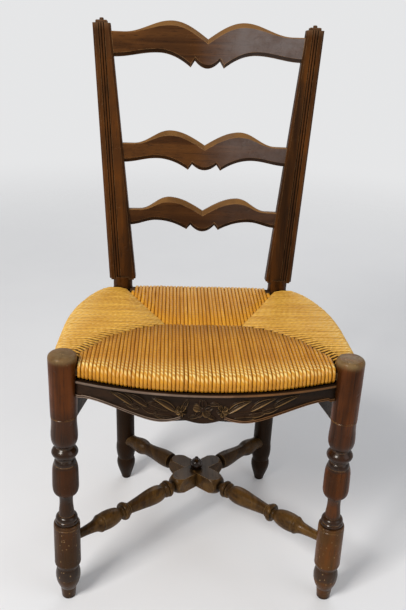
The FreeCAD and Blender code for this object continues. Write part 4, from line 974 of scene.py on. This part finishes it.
def rear_strands(draw):
    """Strands from the rear edge forward to the seam."""
    shell = solid_tree("rush_rear")
    pitch = 2.0 * REAR_REACH / (REAR_STRANDS - 1)
    strands = []
    for index in range(REAR_STRANDS):
        x = -REAR_REACH + pitch * index
        edge = probe(shell, (x, 0.6, MIDDLE_HEIGHT), (0, -1, 0)).y
        seam = rear_seam_y(x)
        strands.append(bent_strand(f"rear_strand_{index:02d}", (x, seam), (0.0, 1.0), edge - seam,
                                   pitch * REAR_GIRTH, draw))
    return strands


rush_front = join_strands("rush_front_strands", front_strands(random.Random(11)), "rush_front")
rush_rear = join_strands("rush_rear_strands", rear_strands(random.Random(12)), "rush_rear")


# %% Side sections
PULL_FORWARD = 0.010
PULL_LENGTH = 0.024
THINNER_BY = 0.42
THINNER_LENGTH = 0.045
CORNER_FROM = 0.03
CORNER_LENGTH = 0.115
CORNER_THINNING = 1.6


def side_strands(side, node, draw):
    """Strands from one side edge in to the seam; side is -1 on the left."""
    shell = solid_tree(node)
    pitch = (SIDE_END - SIDE_START) / (SIDE_STRANDS - 1)
    strands = []
    for index in range(SIDE_STRANDS):
        y = SIDE_START + pitch * index
        edge = abs(probe(shell, (side * 0.4, y, MIDDLE_HEIGHT), (-side, 0, 0)).x)
        seam = side_seam_x(y)
        by_corner = max(0.0, 1.0 - max(y - CORNER_FROM, 0.0) / CORNER_LENGTH)

        def pull(out_by, height, by_corner=by_corner):
            near = max(0.0, 1.0 - out_by / PULL_LENGTH)
            return -side * PULL_FORWARD * by_corner * near * near if height > MIDDLE_HEIGHT else 0.0

        def thin(out_by, height, by_corner=by_corner):
            near = max(0.0, 1.0 - out_by / THINNER_LENGTH)
            share = THINNER_BY * min(1.0, by_corner * CORNER_THINNING) * near
            return 1.0 - share if height > MIDDLE_HEIGHT else 1.0

        strands.append(bent_strand(f"side_strand_{index:02d}", (side * seam, y), (float(side), 0.0),
                                   edge - seam, pitch * SIDE_GIRTH, draw, sideways=pull, thinning=thin))
    return strands


rush_left = join_strands("rush_left_strands", side_strands(-1, "rush_left", random.Random(13)), "rush_left")
rush_right = join_strands("rush_right_strands", side_strands(1, "rush_right", random.Random(14)),
                          "rush_right")
bpy.data.objects.remove(strand_model)

# %% [markdown]
# ## Rush colours
# Dry rush is straw-gold with browner and greener leaves, and its twist shows as slanting lines that catch
# the light. Each strand carries four attributes from its making: how far along it a point is, how far
# around, the strand's own tone, and where it bends over the rail, which is rubbed pale and carries a
# painted highlight. The flanks of each strand are painted darker, as painted shade in the gaps between
# strands. The twist is a wave of along plus around. The front and rear sections are deeper in colour than
# the sides. The sides are painted lighter, as painted light that strands running across catch.

# %% Twist and streaks of a strand
# How far the twist's wave goes on, in radians, in a metre along a strand and once around it
TWIST_ALONG = 620.0
TWIST_AROUND = 12.566
TWIST_DRIFT = 7.0


def strand_twist(group, read, vector):
    """A wave that winds round the strand, a little unsteady: 1 on a leaf's crest."""
    slant = plus(group, times(group, read["along"], TWIST_ALONG),
                 times(group, read["around"], TWIST_AROUND))
    slant = plus(group, slant, times(group, noise_of(group, vector, 60.0, 2.0), TWIST_DRIFT))
    return scaled(group, maths(group, "SINE", slant), 0.5, 0.5)


def strand_streaks(group, read):
    """Streaks that run along the leaves, different on each strand."""
    unrolled = put(group, "ShaderNodeCombineXYZ", {"X": times(group, read["along"], 30.0),
                   "Y": times(group, read["around"], 9.0), "Z": times(group, read["tone"], 90.0)})
    return noise_of(group, unrolled.outputs[0], 1.0, 4.0, 0.65)


print("crests of the twist are", round(2.0 * math.pi / TWIST_ALONG * 1000.0, 1), "mm apart")


# %% Colours of a strand
def make_rush_group():
    """Twist, leaf streaks and tone of a strand from its attributes, with painted shade on its flanks and a
    painted highlight where it bends over the rail.
    """
    group, given, result = start_group(
        "rush_strand",
        [("Vector", "NodeSocketVector", None), ("Light", "NodeSocketColor", (0.7, 0.45, 0.14, 1.0)),
         ("Deep", "NodeSocketColor", (0.4, 0.2, 0.05, 1.0)),
         ("Pale", "NodeSocketColor", (0.8, 0.6, 0.3, 1.0)),
         ("Painted Gap Shade", "NodeSocketFloat", 0.5)],
        [("Colour", "NodeSocketColor"), ("Height", "NodeSocketFloat"), ("Dullness", "NodeSocketFloat")])
    read = {name: put(group, "ShaderNodeAttribute", attribute_name=name).outputs["Fac"]
            for name in ("along", "around", "tone", "bend")}
    twist = strand_twist(group, read, given.outputs["Vector"])
    streak = strand_streaks(group, read)
    shade = plus(group, times(group, remap(group, streak, 0.3, 0.7), 0.5), times(group, read["tone"], 0.38))
    shade = plus(group, shade, times(group, twist, 0.18), True)
    colour = blend_colours(group, shade, given.outputs["Light"], given.outputs["Deep"])
    crown = maths(group, "ABSOLUTE", maths(group, "SUBTRACT", read["around"], 0.25))
    # Painted shade: the flanks of each strand are darkened as the shade in the gaps between strands
    painted_flank_shade = remap(group, crown, 0.08, 0.24)
    colour = blend_colours(group, times(group, painted_flank_shade, given.outputs["Painted Gap Shade"]), colour, paint(92, 54, 12))
    # The bend over the rail is paled on the twist's crests: partly rubbed wear, partly a painted highlight
    rubbed = times(group, read["bend"], remap(group, twist, 0.25, 0.75, 0.10, 0.80))
    rubbed = times(group, rubbed, remap(group, crown, 0.16, 0.04))
    colour = blend_colours(group, rubbed, colour, given.outputs["Pale"])
    height = plus(group, twist, times(group, streak, 0.8))
    group.links.new(colour, result.inputs["Colour"])
    group.links.new(height, result.inputs["Height"])
    group.links.new(shade, result.inputs["Dullness"])
    return group


rush_group = make_rush_group()
print(rush_group.name, "has", len(rush_group.nodes), "nodes")


# %% Rush material
def rush_material(name, light, deep, pale, flank_shade_share):
    """Twisted dry rush in one section's colours; the last argument sets how dark the painted shade on the
    strands' flanks is.
    """
    material, tree, out = fresh_material(name)
    place = place_of(tree)
    strand = place_group(tree, rush_group, {"Vector": place, "Light": light, "Deep": deep, "Pale": pale,
                         "Painted Gap Shade": flank_shade_share})
    drift = remap(tree, noise_of(tree, place, 11.0, 3.0), 0.4, 0.75, 0.0, 0.35)
    colour = blend_colours(tree, drift, strand.outputs["Colour"], deep)
    rough = remap(tree, strand.outputs["Dullness"], 0.0, 1.0, 0.36, 0.60)
    bump = put(tree, "ShaderNodeBump", {"Height": strand.outputs["Height"], "Distance": 0.0007,
               "Strength": 0.75})
    shader = put(tree, "ShaderNodeBsdfPrincipled", {"Base Color": colour, "Roughness": rough,
                 "Normal": bump.outputs[0], "Specular IOR Level": 0.4})
    tree.links.new(shader.outputs[0], out.inputs["Surface"])
    return material


# Lit and shaded copies of one rush: the sides are painted lighter as painted light, the front and rear
# deeper
HONEY = rush_material("rush_honey", paint(226, 162, 40), paint(184, 118, 16), paint(246, 214, 132), 0.30)
SIDE_RUSH_PAINTED_LIGHT = rush_material("rush_sides_painted_light", paint(238, 188, 80), paint(186, 128, 32), paint(246, 212, 132), 0.72)
AMBER = rush_material("rush_amber", paint(216, 153, 34), paint(174, 109, 12), paint(255, 228, 144), 0.32)
for section, material in ((rush_front, AMBER), (rush_rear, HONEY), (rush_left, SIDE_RUSH_PAINTED_LIGHT), (rush_right, SIDE_RUSH_PAINTED_LIGHT)):
    section.data.materials.clear()
    section.data.materials.append(material)
print("rush is coloured")

# %% [markdown]
# ## The wad
# Between the upper and lower strands the weaver packs broken rush, which gives the seat its body. It shows
# only as darkness in the gaps. It starts from the frame's own pad, whose merged copy is remeshed to even
# faces, swollen and dented a little.

# %% Stuff the seat
WAD_VOXEL = 0.006
WAD_SOFTENING = 4
LUMP_HEIGHT = 0.0009
LUMPS_ACROSS = 90.0
LUMPS_DEEP = 115.0


def make_wad():
    """A lumpy pad of broken rush from a merged copy of the frame's pad."""
    wad = nodes["seat_stuffing"].copy()
    wad.data = nodes["seat_stuffing"].data.copy()
    wad.name = "rush_wad"
    for key in list(wad.keys()):
        del wad[key]
    wad.parent = None
    bpy.context.scene.collection.objects.link(wad)
    make_active(wad)
    bpy.ops.object.mode_set(mode="EDIT")
    bpy.ops.mesh.select_all(action="SELECT")
    bpy.ops.mesh.remove_doubles(threshold=0.00001)
    bpy.ops.object.mode_set(mode="OBJECT")
    remesh = wad.modifiers.new("even_faces", "REMESH")
    remesh.mode = "VOXEL"
    remesh.voxel_size = WAD_VOXEL
    bpy.ops.object.modifier_apply(modifier=remesh.name)
    smooth = wad.modifiers.new("soften", "SMOOTH")
    smooth.iterations = WAD_SOFTENING
    bpy.ops.object.modifier_apply(modifier=smooth.name)
    for vertex in wad.data.vertices:
        x, y, _ = vertex.co
        vertex.co.z += LUMP_HEIGHT * math.sin(x * LUMPS_ACROSS + 1.7) * math.sin(y * LUMPS_DEEP)
    bpy.ops.object.shade_smooth()
    return wad


def wad_material():
    """Broken brown rush, unlit in the seat's inside."""
    material, tree, out = fresh_material("broken_rush")
    bits = noise_of(tree, place_of(tree), 180.0, 5.0, distortion=2.0)
    colour = blend_colours(tree, bits, paint(52, 30, 10), paint(104, 68, 28))
    bump = put(tree, "ShaderNodeBump", {"Height": bits, "Distance": 0.001})
    shader = put(tree, "ShaderNodeBsdfPrincipled", {"Base Color": colour, "Normal": bump.outputs[0],
                 "Roughness": scaled(tree, bits, 0.2, 0.7)})
    tree.links.new(shader.outputs[0], out.inputs["Surface"])
    return material


wad = make_wad()
wad.data.materials.clear()
wad.data.materials.append(wad_material())
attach(wad, "root")
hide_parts("seat_stuffing")
print("wad faces:", len(wad.data.polygons))

# %% [markdown]
# ## The carved apron
# The apron is a bowed board with a serpentine lower edge. Its top carries a small roll, its lower
# edge a double fillet, and between them a five-petalled rose sits a little left of the middle
# with a curled blossom and a spray of long leaves on each side. A carver starts from a flat
# board, and so does this: a grid is bent to the board's face, its rows are gathered where the
# mouldings need them, and each point is then pushed forward by what the carving asks there.

# %% The board's face
BOARD_HALF = 0.2035
BOARD_THICKNESS = 0.0138
FACE_AT_LEG = 0.0035
FACE_BOW = 0.0495
HALF_SPREAD = 0.2235
BOW_RADIUS = (HALF_SPREAD ** 2 + FACE_BOW ** 2) / (2.0 * FACE_BOW)
BOARD_TOP = SEAT_UNDER - 0.00015
CARVED_FROM = -0.1530
CARVED_TO = 0.1490
END_COLUMNS = 20
GRID_COLUMNS = 480
GRID_ROWS = 84
apron_solid = solid_tree("front_apron")


def face_y(x):
    """Depth of the board's face, a round bow that stands out most in the middle."""
    return FACE_AT_LEG - FACE_BOW + BOW_RADIUS - np.sqrt(BOW_RADIUS ** 2 - x ** 2)


def lower_edge(x):
    """Height of the board's serpentine lower edge, measured off the solid."""
    inside = min(max(x, -0.1995), 0.1995)
    hit = probe(apron_solid, (inside, float(face_y(inside)) + 0.006, 0.36), (0, 0, 1))
    return hit.z


columns = np.concatenate([
    np.linspace(-BOARD_HALF, CARVED_FROM, END_COLUMNS, endpoint=False),
    np.linspace(CARVED_FROM, CARVED_TO, GRID_COLUMNS - 2 * END_COLUMNS, endpoint=False),
    np.linspace(CARVED_TO, BOARD_HALF, END_COLUMNS + 1)])
lower_line = np.array([lower_edge(float(x)) for x in columns])
print("apron is", round((BOARD_TOP - lower_line.max()) * 1000, 1), "to",
      round((BOARD_TOP - lower_line.min()) * 1000, 1), "mm high")

# %% [markdown]
# The carving is a height over the face, in metres, worked out for all points at once. Each form
# gives its own height, and the tallest wins, as one form lies over another in the wood. A leaf is
# a bent blade with a hollow on each side of its middle rib and a raised rim, because in the
# photograph the rims and ribs are what catch the light.

# %% Forms of the carving
def rounded(distance, width):
    """A half-round roll over a band that starts at distance 0 and is width wide."""
    share = np.clip(distance / width, 0.0, 1.0) * 2.0 - 1.0
    return np.sqrt(np.clip(1.0 - share ** 2, 0.0, 1.0)) * ((distance > 0) & (distance < width))


def leaf(x, z, root, tip, width, bow, height, fullness=0.75):
    """A leaf from root to tip, bent sideways by bow: its relief, and how pale it is painted near its rims
    and rib, with a painted highlight on the rim of the side that faces the light.
    """
    run = np.array(tip) - np.array(root)
    length = float(np.hypot(*run))
    ahead = run / length
    along = ((x - root[0]) * ahead[0] + (z - root[1]) * ahead[1]) / length
    off = (z - root[1]) * ahead[0] - (x - root[0]) * ahead[1]
    off = off - bow * 4.0 * along * (1.0 - along)
    inside = np.clip(along, 0.0, 1.0)
    half = width / 2.0 * np.sin(np.pi * inside ** fullness) ** (0.64 / fullness) + 1e-6
    across = np.abs(off) / half
    rim = np.exp(-((across - 0.74) / 0.21) ** 2)
    rib = np.exp(-(across / 0.15) ** 2)
    # The rim on one side of each leaf is the lit one and gets a painted highlight; the other side stays
    # darker
    lit = np.where(off * np.sign(ahead[0]) < 0.0, 1.0, 0.55)
    blade = 0.36 + 0.64 * np.maximum(rim, rib * 0.7)
    swell = 0.6 + 0.4 * np.sin(np.pi * inside)
    inner = np.clip((1.02 - across) / 0.16, 0.0, 1.0) * (along > 0.0) * (along < 1.0)
    crest = np.maximum(np.maximum(rim * lit, rib * 0.35), 0.36 * (lit > 0.9))
    return height * swell * blade * inner, crest * inner


def knob(x, z, centre, radius, height):
    """A round boss."""
    away = np.hypot(x - centre[0], z - centre[1]) / radius
    dome = np.sqrt(np.clip(1.0 - away ** 2, 0.0, 1.0))
    return height * dome, dome


def petal(x, z, centre, degrees, length, width, height):
    """A cupped petal that leaves its flower's centre at an angle and is widest near its end."""
    angle = math.radians(degrees)
    tip = (centre[0] + length * math.cos(angle), centre[1] + length * math.sin(angle))
    relief, crest = leaf(x, z, centre, tip, width, 0.0, height, fullness=1.6)
    return relief, np.maximum(crest, 0.5 * (relief > 0.0))


def stem(x, z, points, width, height):
    """A thin raised stem through points."""
    line_z = np.interp(x, [point[0] for point in points], [point[1] for point in points])
    inside = (x > points[0][0]) & (x < points[-1][0])
    ridge = np.sqrt(np.clip(1.0 - ((z - line_z) / width * 2.0) ** 2, 0.0, 1.0)) * inside
    return height * ridge, ridge * 0.4


middle = leaf(np.array([0.01]), np.array([0.0]), (0.0, 0.0), (0.02, 0.0), 0.008, 0.0, 0.003)[0]
print("leaf relief in its middle:", middle)

# %% Places of the leaves and flowers
ROSE = (-0.0068, 0.4130)
# Root, tip, width, sideways bow and relief of each leaf, and how pale its crests are painted, partly rubbed
# wear and partly painted highlight
LEAVES = [
    ((-0.1024, 0.4075), (-0.1290, 0.4160), 0.0090, 0.0014, 0.0026, 0.5),
    ((-0.1130, 0.4120), (-0.1490, 0.4300), 0.0120, -0.0036, 0.0034, 0.8),
    ((-0.0760, 0.4030), (-0.1030, 0.4130), 0.0100, 0.0018, 0.0026, 0.4),
    ((-0.0900, 0.4120), (-0.1270, 0.4310), 0.0125, -0.0036, 0.0034, 0.6),
    ((-0.0500, 0.3965), (-0.0850, 0.4015), 0.0105, 0.0020, 0.0030, 0.5),
    ((-0.0600, 0.4085), (-0.0960, 0.4200), 0.0090, -0.0020, 0.0026, 0.4),
    ((-0.0470, 0.4070), (-0.0840, 0.4270), 0.0130, -0.0040, 0.0036, 0.9),
    ((0.0830, 0.4055), (0.1140, 0.4140), 0.0095, -0.0016, 0.0028, 0.7),
    ((0.1000, 0.4120), (0.1430, 0.4290), 0.0120, 0.0036, 0.0034, 0.8),
    ((0.0640, 0.4010), (0.0950, 0.4075), 0.0100, -0.0018, 0.0028, 0.6),
    ((0.0660, 0.4090), (0.1060, 0.4280), 0.0125, 0.0038, 0.0034, 0.85),
    ((0.0420, 0.3955), (0.0800, 0.3995), 0.0105, -0.0020, 0.0030, 0.7),
    ((0.0310, 0.4060), (0.0680, 0.4265), 0.0130, 0.0040, 0.0036, 1.0),
    ((-0.0350, 0.4150), (-0.0290, 0.4290), 0.0090, 0.0012, 0.0028, 0.5),
    ((0.0030, 0.4200), (0.0230, 0.4180), 0.0080, 0.0030, 0.0026, 0.6),
    ((0.0000, 0.4010), (0.0150, 0.3945), 0.0080, 0.0014, 0.0028, 0.7),
    ((-0.0130, 0.4010), (-0.0290, 0.3960), 0.0080, -0.0014, 0.0028, 0.5),
    ((-0.0400, 0.4050), (-0.0435, 0.3930), 0.0074, 0.0008, 0.0030, 0.9),
    ((0.0250, 0.4050), (0.0310, 0.3925), 0.0074, -0.0008, 0.0030, 1.0),
]
STEM_LEFT = [(-0.1500, 0.4280), (-0.1150, 0.4150), (-0.0800, 0.4085), (-0.0480, 0.4050)]
STEM_RIGHT = [(0.0300, 0.4060), (0.0650, 0.4075), (0.1000, 0.4130), (0.1430, 0.4270)]
# Angle, length, width and paleness of each petal, partly rubbing and partly painted highlight
ROSE_PETALS = [(92.0, 0.0160, 0.0150, 0.12), (20.0, 0.0150, 0.0140, 0.30), (-50.0, 0.0150, 0.0140, 0.65),
               (-128.0, 0.0150, 0.0140, 0.40), (164.0, 0.0150, 0.0140, 0.85)]
LEFT_BLOSSOM = (-0.0395, 0.4085)
LEFT_PETALS = [(64.0, 0.0115, 0.0086, 0.8), (130.0, 0.0100, 0.0080, 0.7), (-162.0, 0.0095, 0.0080, 1.0),
               (-96.0, 0.0105, 0.0074, 1.0), (-14.0, 0.0090, 0.0070, 0.5)]
RIGHT_BLOSSOM = (0.0235, 0.4100)
RIGHT_PETALS = [(118.0, 0.0115, 0.0080, 0.8), (44.0, 0.0100, 0.0084, 0.9), (-20.0, 0.0095, 0.0084, 1.0),
                (-84.0, 0.0115, 0.0080, 1.0), (-166.0, 0.0090, 0.0070, 0.5)]
TOP_ROLL = 0.0062
TOP_ROLL_RELIEF = 0.0034
EDGE_FILLET = 0.0028
EDGE_FILLET_RELIEF = 0.0026
STEM_WIDTH = 0.0022
STEM_RELIEF = 0.0014
PETAL_RELIEF = 0.0040
# Centre, radius, relief and paleness of each flower's boss, partly rubbing and partly painted highlight
BOSSES = [(LEFT_BLOSSOM, 0.0022, 0.0034, 0.5), (RIGHT_BLOSSOM, 0.0022, 0.0034, 0.6),
          (ROSE, 0.0044, 0.0046, 0.2)]
# Within this distance of the rose's middle the fillet nearly dies out
FILLET_GAP = 0.033


print("leaves:", len(LEAVES), "petals:", len(ROSE_PETALS) + len(LEFT_PETALS) + len(RIGHT_PETALS))


# %% The whole carving
def carving(x, z, low):
    """How far the face stands out at each point, how pale it is painted as rubbing and painted highlight,
    and what is moulding.
    """
    relief = np.zeros_like(x)
    rubbed = np.zeros_like(x)

    def lay(form, strength):
        nonlocal relief, rubbed
        height, crest = form
        rubbed = np.where(height > relief, crest * strength, rubbed)
        relief = np.maximum(relief, height)

    for line in (STEM_LEFT, STEM_RIGHT):
        lay(stem(x, z, line, STEM_WIDTH, STEM_RELIEF), 0.6)
    for root, tip, width, bow, height, strength in LEAVES:
        lay(leaf(x, z, root, tip, width, bow, height), strength)
    for flower, petals in ((LEFT_BLOSSOM, LEFT_PETALS), (RIGHT_BLOSSOM, RIGHT_PETALS), (ROSE, ROSE_PETALS)):
        for degrees, length, width, strength in petals:
            lay(petal(x, z, flower, degrees, length, width, PETAL_RELIEF), strength)
    for centre, radius, height, strength in BOSSES:
        lay(knob(x, z, centre, radius, height), strength)
    above = z - low
    moulding = np.maximum(rounded(above, EDGE_FILLET), rounded(above - EDGE_FILLET, EDGE_FILLET))
    moulding *= np.where(np.abs(x - ROSE[0]) < FILLET_GAP, 0.35, 1.0)
    in_edge = above < EDGE_FILLET * 2.1
    relief = np.where(in_edge, np.maximum(EDGE_FILLET_RELIEF * moulding, relief * 0.6), relief)
    rubbed = np.where(in_edge, 0.0, rubbed)
    roll = rounded(BOARD_TOP - z, TOP_ROLL)
    relief = np.maximum(relief, TOP_ROLL_RELIEF * roll)
    moulding = np.maximum(moulding, roll)
    return relief, rubbed, moulding


print("carving is ready")


# %% Lay out the grid
FILLET_ROWS = 18
ROLL_ROWS = 12
FILLET_BAND = 0.0064
ROLL_BAND = 0.0070
FIELD_ROWS = GRID_ROWS - FILLET_ROWS - ROLL_ROWS


def column_heights(low):
    """Heights of one column's points, with rows gathered at both mouldings."""
    first = low + FILLET_BAND
    last = BOARD_TOP - ROLL_BAND
    return np.concatenate([np.linspace(low, first, FILLET_ROWS, endpoint=False),
                           np.linspace(first, last, FIELD_ROWS, endpoint=False),
                           np.linspace(last, BOARD_TOP, ROLL_ROWS + 1)])


def grid_board():
    """A grid primitive, with the column and row of each of its points."""
    deselect_all()
    bpy.ops.mesh.primitive_grid_add(x_subdivisions=GRID_COLUMNS, y_subdivisions=GRID_ROWS, size=2.0)
    board = bpy.context.object
    board.name = "carved_apron"
    flat = np.zeros(len(board.data.vertices) * 3)
    board.data.vertices.foreach_get("co", flat)
    flat = flat.reshape(-1, 3)
    column = np.rint((flat[:, 0] + 1.0) / 2.0 * GRID_COLUMNS).astype(int)
    row = np.rint((flat[:, 1] + 1.0) / 2.0 * GRID_ROWS).astype(int)
    return board, column, row


print("rows of the grid:", FILLET_ROWS, FIELD_ROWS, ROLL_ROWS)


# %% Close the board and carve it
def close_behind(board):
    """Extrude the whole sheet to the back, which gives it edges and a back."""
    make_active(board)
    bpy.ops.object.mode_set(mode="EDIT")
    bpy.ops.mesh.select_all(action="SELECT")
    bpy.ops.mesh.extrude_region_move(TRANSFORM_OT_translate={"value": (0.0, BOARD_THICKNESS, 0.0)})
    bpy.ops.object.mode_set(mode="OBJECT")


def face_outward(board):
    """Make the faces point out and smooth all but the sharp edges."""
    bpy.ops.object.mode_set(mode="EDIT")
    bpy.ops.mesh.select_all(action="SELECT")
    bpy.ops.mesh.normals_make_consistent(inside=False)
    bpy.ops.object.mode_set(mode="OBJECT")
    bpy.ops.object.shade_smooth_by_angle(angle=math.radians(60.0))


def carve_apron():
    """The board as a carved grid, closed behind by an extrusion to its plain back."""
    board, column, row = grid_board()
    mesh = board.data
    x = columns[column]
    z = np.array([column_heights(low) for low in lower_line])[column, row]
    relief, rubbed, moulding = carving(x, z, lower_line[column])
    front = np.array([laid(*point) for point in zip(x, face_y(x) - relief, z)])
    back = np.array([laid(*point) for point in zip(x, face_y(x) + BOARD_THICKNESS, z)])
    mesh.vertices.foreach_set("co", front.ravel())
    close_behind(board)
    spots = np.zeros(len(mesh.vertices) * 3)
    mesh.vertices.foreach_get("co", spots)
    stayed = np.linalg.norm(spots.reshape(-1, 3)[:len(front)] - front, axis=1).max() < 0.001
    halves = [front, back] if stayed else [back, front]
    mesh.vertices.foreach_set("co", np.concatenate(halves).ravel())
    blank = np.zeros_like(x)
    # The rubbed attribute holds crests paled by wear and by painted highlight
    for title, values in (("rubbed", rubbed), ("moulding", moulding)):
        both = [values, blank] if stayed else [blank, values]
        mesh.attributes.new(title, "FLOAT", "POINT").data.foreach_set("value", np.concatenate(both))
    face_outward(board)
    return board


apron = carve_apron()
print("carved board of", len(apron.data.polygons), "faces")


# %% Carved wood
def carved_wood():
    """Nearly black wood whose raised forms are rubbed to tan with painted highlights, and whose mouldings
    carry painted light.
    """
    material, tree, out = fresh_material("carved_walnut")
    layers = wood_layers(tree, (0.0, math.radians(90.0), 0.0), APRON_TONES, fibres=120.0,
                         edge_width=0.0008, hollow_reach=0.004)
    rubbed = put(tree, "ShaderNodeAttribute", attribute_name="rubbed").outputs["Fac"]
    moulding = put(tree, "ShaderNodeAttribute", attribute_name="moulding").outputs["Fac"]
    uneven = remap(tree, layers["patina"].outputs["Patches"], 0.0, 1.0, 1.0, 0.6)
    # Painted light on the roll and fillets: a whitish painted reflection on the left, orange lit wood on
    # the right
    to_right = remap(tree, axis_of(tree, "X"), -0.05, 0.10)
    moulding_light_tone = blend_colours(tree, to_right, paint(146, 124, 108), paint(146, 100, 58))
    # Crests paled by rubbing and by painted highlight
    rubbed_and_highlit = times(tree, remap(tree, rubbed, 0.15, 0.85), uneven)
    painted_moulding_light = times(tree, remap(tree, moulding, 0.62, 0.98, 0.0, 0.68), uneven)
    colour = blend_colours(tree, rubbed_and_highlit, layers["colour"], paint(136, 104, 62))
    layers["colour"] = blend_colours(tree, painted_moulding_light, colour, moulding_light_tone)
    finish_wood(tree, out, layers, APRON_TONES, gloss=0.30, coat=0.05, bump=0.0003, edge_share=0.4)
    return material


apron.data.materials.clear()
apron.data.materials.append(carved_wood())
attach(apron, "root")
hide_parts("front_apron")
print("apron faces:", len(apron.data.polygons))

# %% [markdown]
# ## Finish
# The dressed chair must keep the frame's size.

bpy.context.scene.view_settings.view_transform = "Standard"
